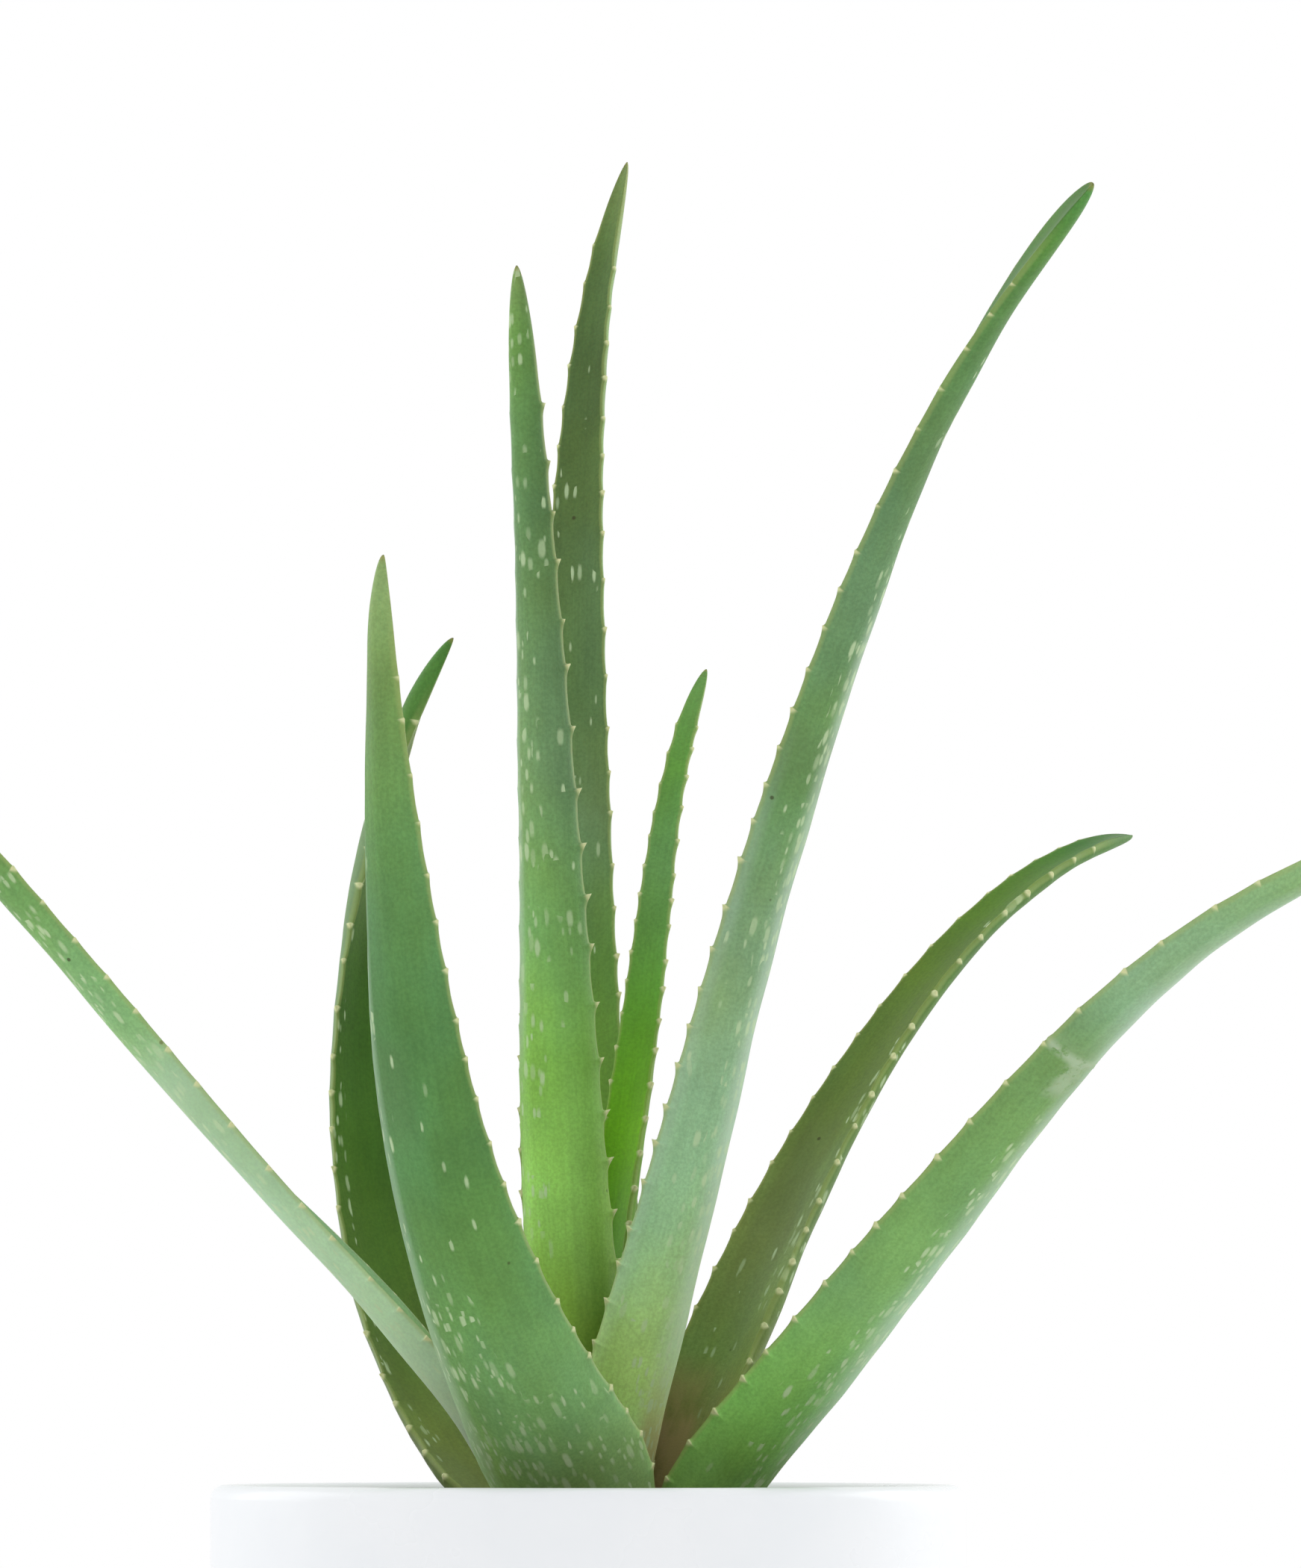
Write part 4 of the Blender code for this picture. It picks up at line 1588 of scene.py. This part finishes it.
        bits = Finish("potting_mix_bits", 0.85)
        place = bits.place()
        fibre = bits.noise(place, 600.0, 5.0, 0.7)
        bark = bits.blend(bits.attribute("pick"), self.peat, self.bark)
        bark = bits.shade(bark, bits.between(fibre, 0.3, 0.7, 0.65, 1.35))
        white = bits.blend(fibre, self.perlite_shade, self.perlite)
        bits.drive("Base Color", bits.blend(bits.attribute("perlite"), bark, white))
        bits.drive("Roughness", bits.between(fibre, 0.3, 0.7, 0.95, 0.75))
        bits.relief(fibre, 0.5 * MM, 0.8)
        crumbs.data.materials.append(bits.material)

    def add(self) -> List[bpy.types.Object]:
        """Build, dress and attach the mix and its crumbs in place of the node.

        Returns:
            The mix and its crumbs.
        """
        ground, crumbs = self.build(), self.scatter()
        self.dress(ground, crumbs)
        for piece in (ground, crumbs):
            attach(piece, ROOT)
        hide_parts(self.node)
        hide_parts(self.node)
        return [ground, crumbs]


# ---------------------------------------------------------------- pot


@dataclass(frozen=True)
class Glaze:
    """White satin glaze with faint mottling, pinholes and a bare foot ring."""

    white: int = 0xF1F3F6
    cool: int = 0xECEFF3
    clay: int = 0xD8CFC0
    pin: int = 0xB9B4AA
    roughness: float = 0.3

    def dress(self, piece: bpy.types.Object) -> None:
        """Give the pot its glaze.

        Args:
            piece: The pot.
        """
        glaze = Finish("white_glaze_satin", self.roughness)
        place = glaze.place()
        mottle = glaze.noise(place, 22.0, 4.0, 0.55)
        peel = glaze.noise(place, 320.0, 2.0, 0.5)
        away, pick = glaze.cells(place, 160.0)
        colour = glaze.blend(glaze.between(mottle, 0.3, 0.7), self.white, self.cool)
        hole = glaze.sum("MULTIPLY", glaze.between(away, 0.075, 0.035),
                         glaze.sum("LESS_THAN", glaze.parts(pick)[0], 0.12))
        colour = glaze.blend(glaze.sum("MULTIPLY", hole, 0.5), colour, self.pin)
        bare = glaze.attribute("bare")
        grit = glaze.noise(place, 900.0, 3.0, 0.6)
        clay = glaze.shade(self.clay, glaze.between(grit, 0.3, 0.7, 0.92, 1.05))
        colour = glaze.blend(bare, colour, clay)
        glaze.drive("Base Color", colour)
        dull = glaze.between(mottle, 0.3, 0.7, self.roughness - 0.04, self.roughness + 0.05)
        glaze.drive("Roughness", glaze.sum("MULTIPLY_ADD", bare, 0.5, dull))
        height = glaze.sum("MULTIPLY_ADD", hole, -0.6, peel)
        height = glaze.sum("MULTIPLY_ADD", glaze.sum("MULTIPLY", bare, grit), 1.5, height)
        glaze.relief(height, 0.08 * MM, 0.5)
        glaze.constant(Coat_Weight=0.25, Coat_Roughness=0.15)
        piece.data.materials.append(glaze.material)


@dataclass
class Pot:
    """Straight-sided pot with a full-round lip, a closed floor and a bare foot ring."""

    node: str = "pot"
    wall: float = 6.0
    floor: float = 8.0
    foot_round: float = 2.0
    foot_ring: float = 7.0
    foot_recess: float = 1.2
    foot_ring_round: float = 0.6
    bare_height: float = 0.7
    bare_fade: float = 0.4
    inside_round: float = 5.0
    around: int = 256
    unevenness: float = 0.07
    uneven_from: float = 60.0
    glaze: Glaze = field(default_factory=Glaze)

    def profile(self) -> Array:
        """Radius and height of the turned profile, from under the foot, over the lip, inside.

        Returns:
            Rows of radius and height in millimetres: straight runs joined by quarter rounds at
            the foot and the inner corner and a half round at the lip.
        """
        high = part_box(self.node)[1]
        radius, height = high.x / MM, high.z / MM
        lip, inside = self.wall / 2, radius - self.wall

        def arc(centre: Tuple[float, float], size: float, start: float, end: float, steps: int,
                ) -> Array:
            """Points of an arc, with its angles in degrees.

            Args:
                centre: Radius and height of its centre.
                size: Its own radius.
                start: First angle.
                end: Last angle.
                steps: How many straight steps stand for it.

            Returns:
                Rows of radius and height.
            """
            angle = np.radians(np.linspace(start, end, steps + 1))
            return np.stack([centre[0] + size * np.cos(angle),
                             centre[1] + size * np.sin(angle)], -1)

        def run(start: Tuple[float, float], end: Tuple[float, float], steps: int) -> Array:
            """Points inside a straight run, without its ends."""
            share = np.linspace(0, 1, steps + 1)[1:-1, None]
            return np.array(start) * (1 - share) + np.array(end) * share

        ring = radius - self.foot_ring
        foot = radius - self.foot_round
        small = self.foot_ring_round
        return np.concatenate([
            run((0, self.foot_recess), (ring - 2 * small, self.foot_recess), 9),
            arc((ring - 2 * small, self.foot_recess - small), small, 90, 0, 4),
            arc((ring, small), small, 180, 270, 4),
            run((ring, 0.0), (foot, 0.0), 4),
            arc((foot, self.foot_round), self.foot_round, -90, 0, 8),
            run((radius, self.foot_round), (radius, height - lip), 36),
            arc((radius - lip, height - lip), lip, 0, 180, 20),
            run((inside, height - lip), (inside, self.floor + self.inside_round), 14),
            arc((inside - self.inside_round, self.floor + self.inside_round),
                self.inside_round, 0, -90, 6),
            run((inside - self.inside_round, self.floor), (0, self.floor), 8)])

    def build(self) -> bpy.types.Object:
        """Turn the profile round the pot's axis, a touch out of true like a cast pot.

        Returns:
            The closed pot. Its radius is the profile's, less a few times the unevenness.
        """
        outline = self.profile()
        turn = 2 * np.pi * np.arange(self.around) / self.around
        radius = np.broadcast_to(outline[:, :1], (len(outline), self.around))
        high = np.broadcast_to(outline[:, 1:], radius.shape)
        wave = ripples(radius * np.cos(turn), high * 0.6 + radius * np.sin(turn), 120.0, 8, 5)
        drawn_in = np.minimum(self.unevenness * (wave - 1.2), 0)
        out = radius + np.where(radius > self.uneven_from, drawn_in, 0)
        grid = np.stack([out * np.cos(turn), out * np.sin(turn), high], -1)
        middle = np.array([[0, 0, self.foot_recess], [0, 0, self.floor]])
        points = np.concatenate([grid.reshape(-1, 3), middle]) * MM
        rows, count = grid.shape[:2]
        ring = np.arange(count)
        triangles = np.concatenate([fan(rows * count, ring, True),
                                    fan(rows * count + 1, (rows - 1) * count + ring)])
        piece = new_piece("pot_glazed", points, ring_faces(rows, count), triangles)
        bare = ease((self.bare_height - high) / self.bare_fade)
        give(piece, "bare", np.append(bare.ravel(), (0.0, 0.0)))
        return piece

    def add(self) -> bpy.types.Object:
        """Build, dress and attach the pot in place of its node.

        Returns:
            The attached pot.
        """
        piece = self.build()
        self.glaze.dress(piece)
        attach(piece, ROOT)
        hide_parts(self.node)
        return piece


# ---------------------------------------------------------------- studio


@dataclass(frozen=True)
class Lamp:
    """One large square soft light: its place and size in metres and its power in watts."""

    name: str
    place: Tuple[float, float, float]
    size: float
    power: float


@dataclass
class Studio:
    """Camera, soft light all round and a plain pale floor."""

    camera_at: Tuple[float, float, float] = (0.0134, -1.5, 0.158)
    look_at: Tuple[float, float, float] = (0.0134, 0.0, 0.2943)
    lens: float = 161.5
    sensor: float = 36.0
    floor_half: float = 3.0
    front_light: float = 0.92
    back_light: float = 1.0
    lit_from: Tuple[float, float] = (-0.9, 0.35)
    lamps: Tuple[Lamp, ...] = (Lamp("soft_right", (1.6, 0.9, 0.9), 1.4, 10.0),
                               Lamp("soft_left", (-1.6, 0.7, 0.9), 1.4, 6.0))
    lamps_face: Tuple[float, float, float] = (0.0, 0.0, 0.25)

    def camera(self) -> None:
        """Stand the camera in front of the plant, just above the rim and tilted up."""
        data = bpy.data.cameras.new("camera")
        data.lens = self.lens
        data.sensor_width = self.sensor
        camera = bpy.data.objects.new("camera", data)
        camera.location = self.camera_at
        aim = Vector(self.look_at) - Vector(self.camera_at)
        camera.rotation_euler = aim.to_track_quat("-Z", "Y").to_euler()
        bpy.context.scene.collection.objects.link(camera)
        bpy.context.scene.camera = camera

    def sky(self) -> None:
        """Light the plant evenly, brighter from behind than from the front."""
        world = bpy.data.worlds.new("studio_light")
        world.use_nodes = True
        bpy.context.scene.world = world
        nodes, links = world.node_tree.nodes, world.node_tree.links
        background = nodes["Background"]
        direction = nodes.new("ShaderNodeTexCoord").outputs["Generated"]
        split = nodes.new("ShaderNodeSeparateXYZ")
        links.new(direction, split.inputs[0])
        spread = nodes.new("ShaderNodeMapRange")
        spread.interpolation_type = "SMOOTHSTEP"
        for value, target in zip((*self.lit_from, self.front_light, self.back_light),
                                 list(spread.inputs)[1:5]):
            target.default_value = value
        links.new(split.outputs["Y"], spread.inputs[0])
        seen = nodes.new("ShaderNodeLightPath").outputs["Is Camera Ray"]
        choose = nodes.new("ShaderNodeMix")
        choose.inputs[3].default_value = 1.0
        links.new(seen, choose.inputs[0])
        links.new(spread.outputs[0], choose.inputs[2])
        links.new(choose.outputs[0], background.inputs["Strength"])
        background.inputs["Color"].default_value = (1.0, 1.0, 1.0, 1.0)

    def hang(self, lamp: Lamp) -> None:
        """Hang one soft light that faces the middle of the plant.

        Args:
            lamp: The light to hang.
        """
        data = bpy.data.lights.new(lamp.name, "AREA")
        data.shape = "SQUARE"
        data.size = lamp.size
        data.energy = lamp.power
        light = bpy.data.objects.new(lamp.name, data)
        light.location = lamp.place
        aim = Vector(self.lamps_face) - Vector(lamp.place)
        light.rotation_euler = aim.to_track_quat("-Z", "Y").to_euler()
        bpy.context.scene.collection.objects.link(light)

    def floor(self) -> None:
        """Lay the plain pale floor."""
        half = self.floor_half
        points = np.array([[-half, -half, 0], [half, -half, 0], [half, half, 0],
                           [-half, half, 0]])
        piece = new_piece("studio_floor", points, np.array([[0, 1, 2, 3]]))
        pale = Finish("studio_floor_pale", 0.7)
        tone = pale.noise(pale.place(), 3.0, 2.0)
        pale.drive("Base Color", pale.blend(tone, 0xF4F4F3, 0xF7F7F6))
        piece.data.materials.append(pale.material)

    def build(self) -> None:
        """Set up the camera, the light and the floor."""
        self.camera()
        self.sky()
        for lamp in self.lamps:
            self.hang(lamp)
        self.floor()
        bpy.context.scene.view_settings.view_transform = "Standard"


def report(name: str, pieces: Sequence[bpy.types.Object]) -> None:
    """Log how many faces a sub-assembly has."""
    faces = sum(len(piece.data.polygons) for piece in pieces)
    log.info("%s: %d pieces, %d faces", name, len(pieces), faces)


def main() -> None:
    """Build the plant, the pot and the studio, and log each sub-assembly's pieces and faces."""
    logging.basicConfig(level=logging.INFO, format="%(name)s %(message)s")
    Studio().build()
    report("pot", [Pot().add()])
    report("potting mix", PottingMix().add())
    Stem().dress()
    skin = LeafSkin()
    for leaf in LEAVES:
        report(leaf.name, [leaf.add(skin)])


if __name__ == "__main__":
    main()
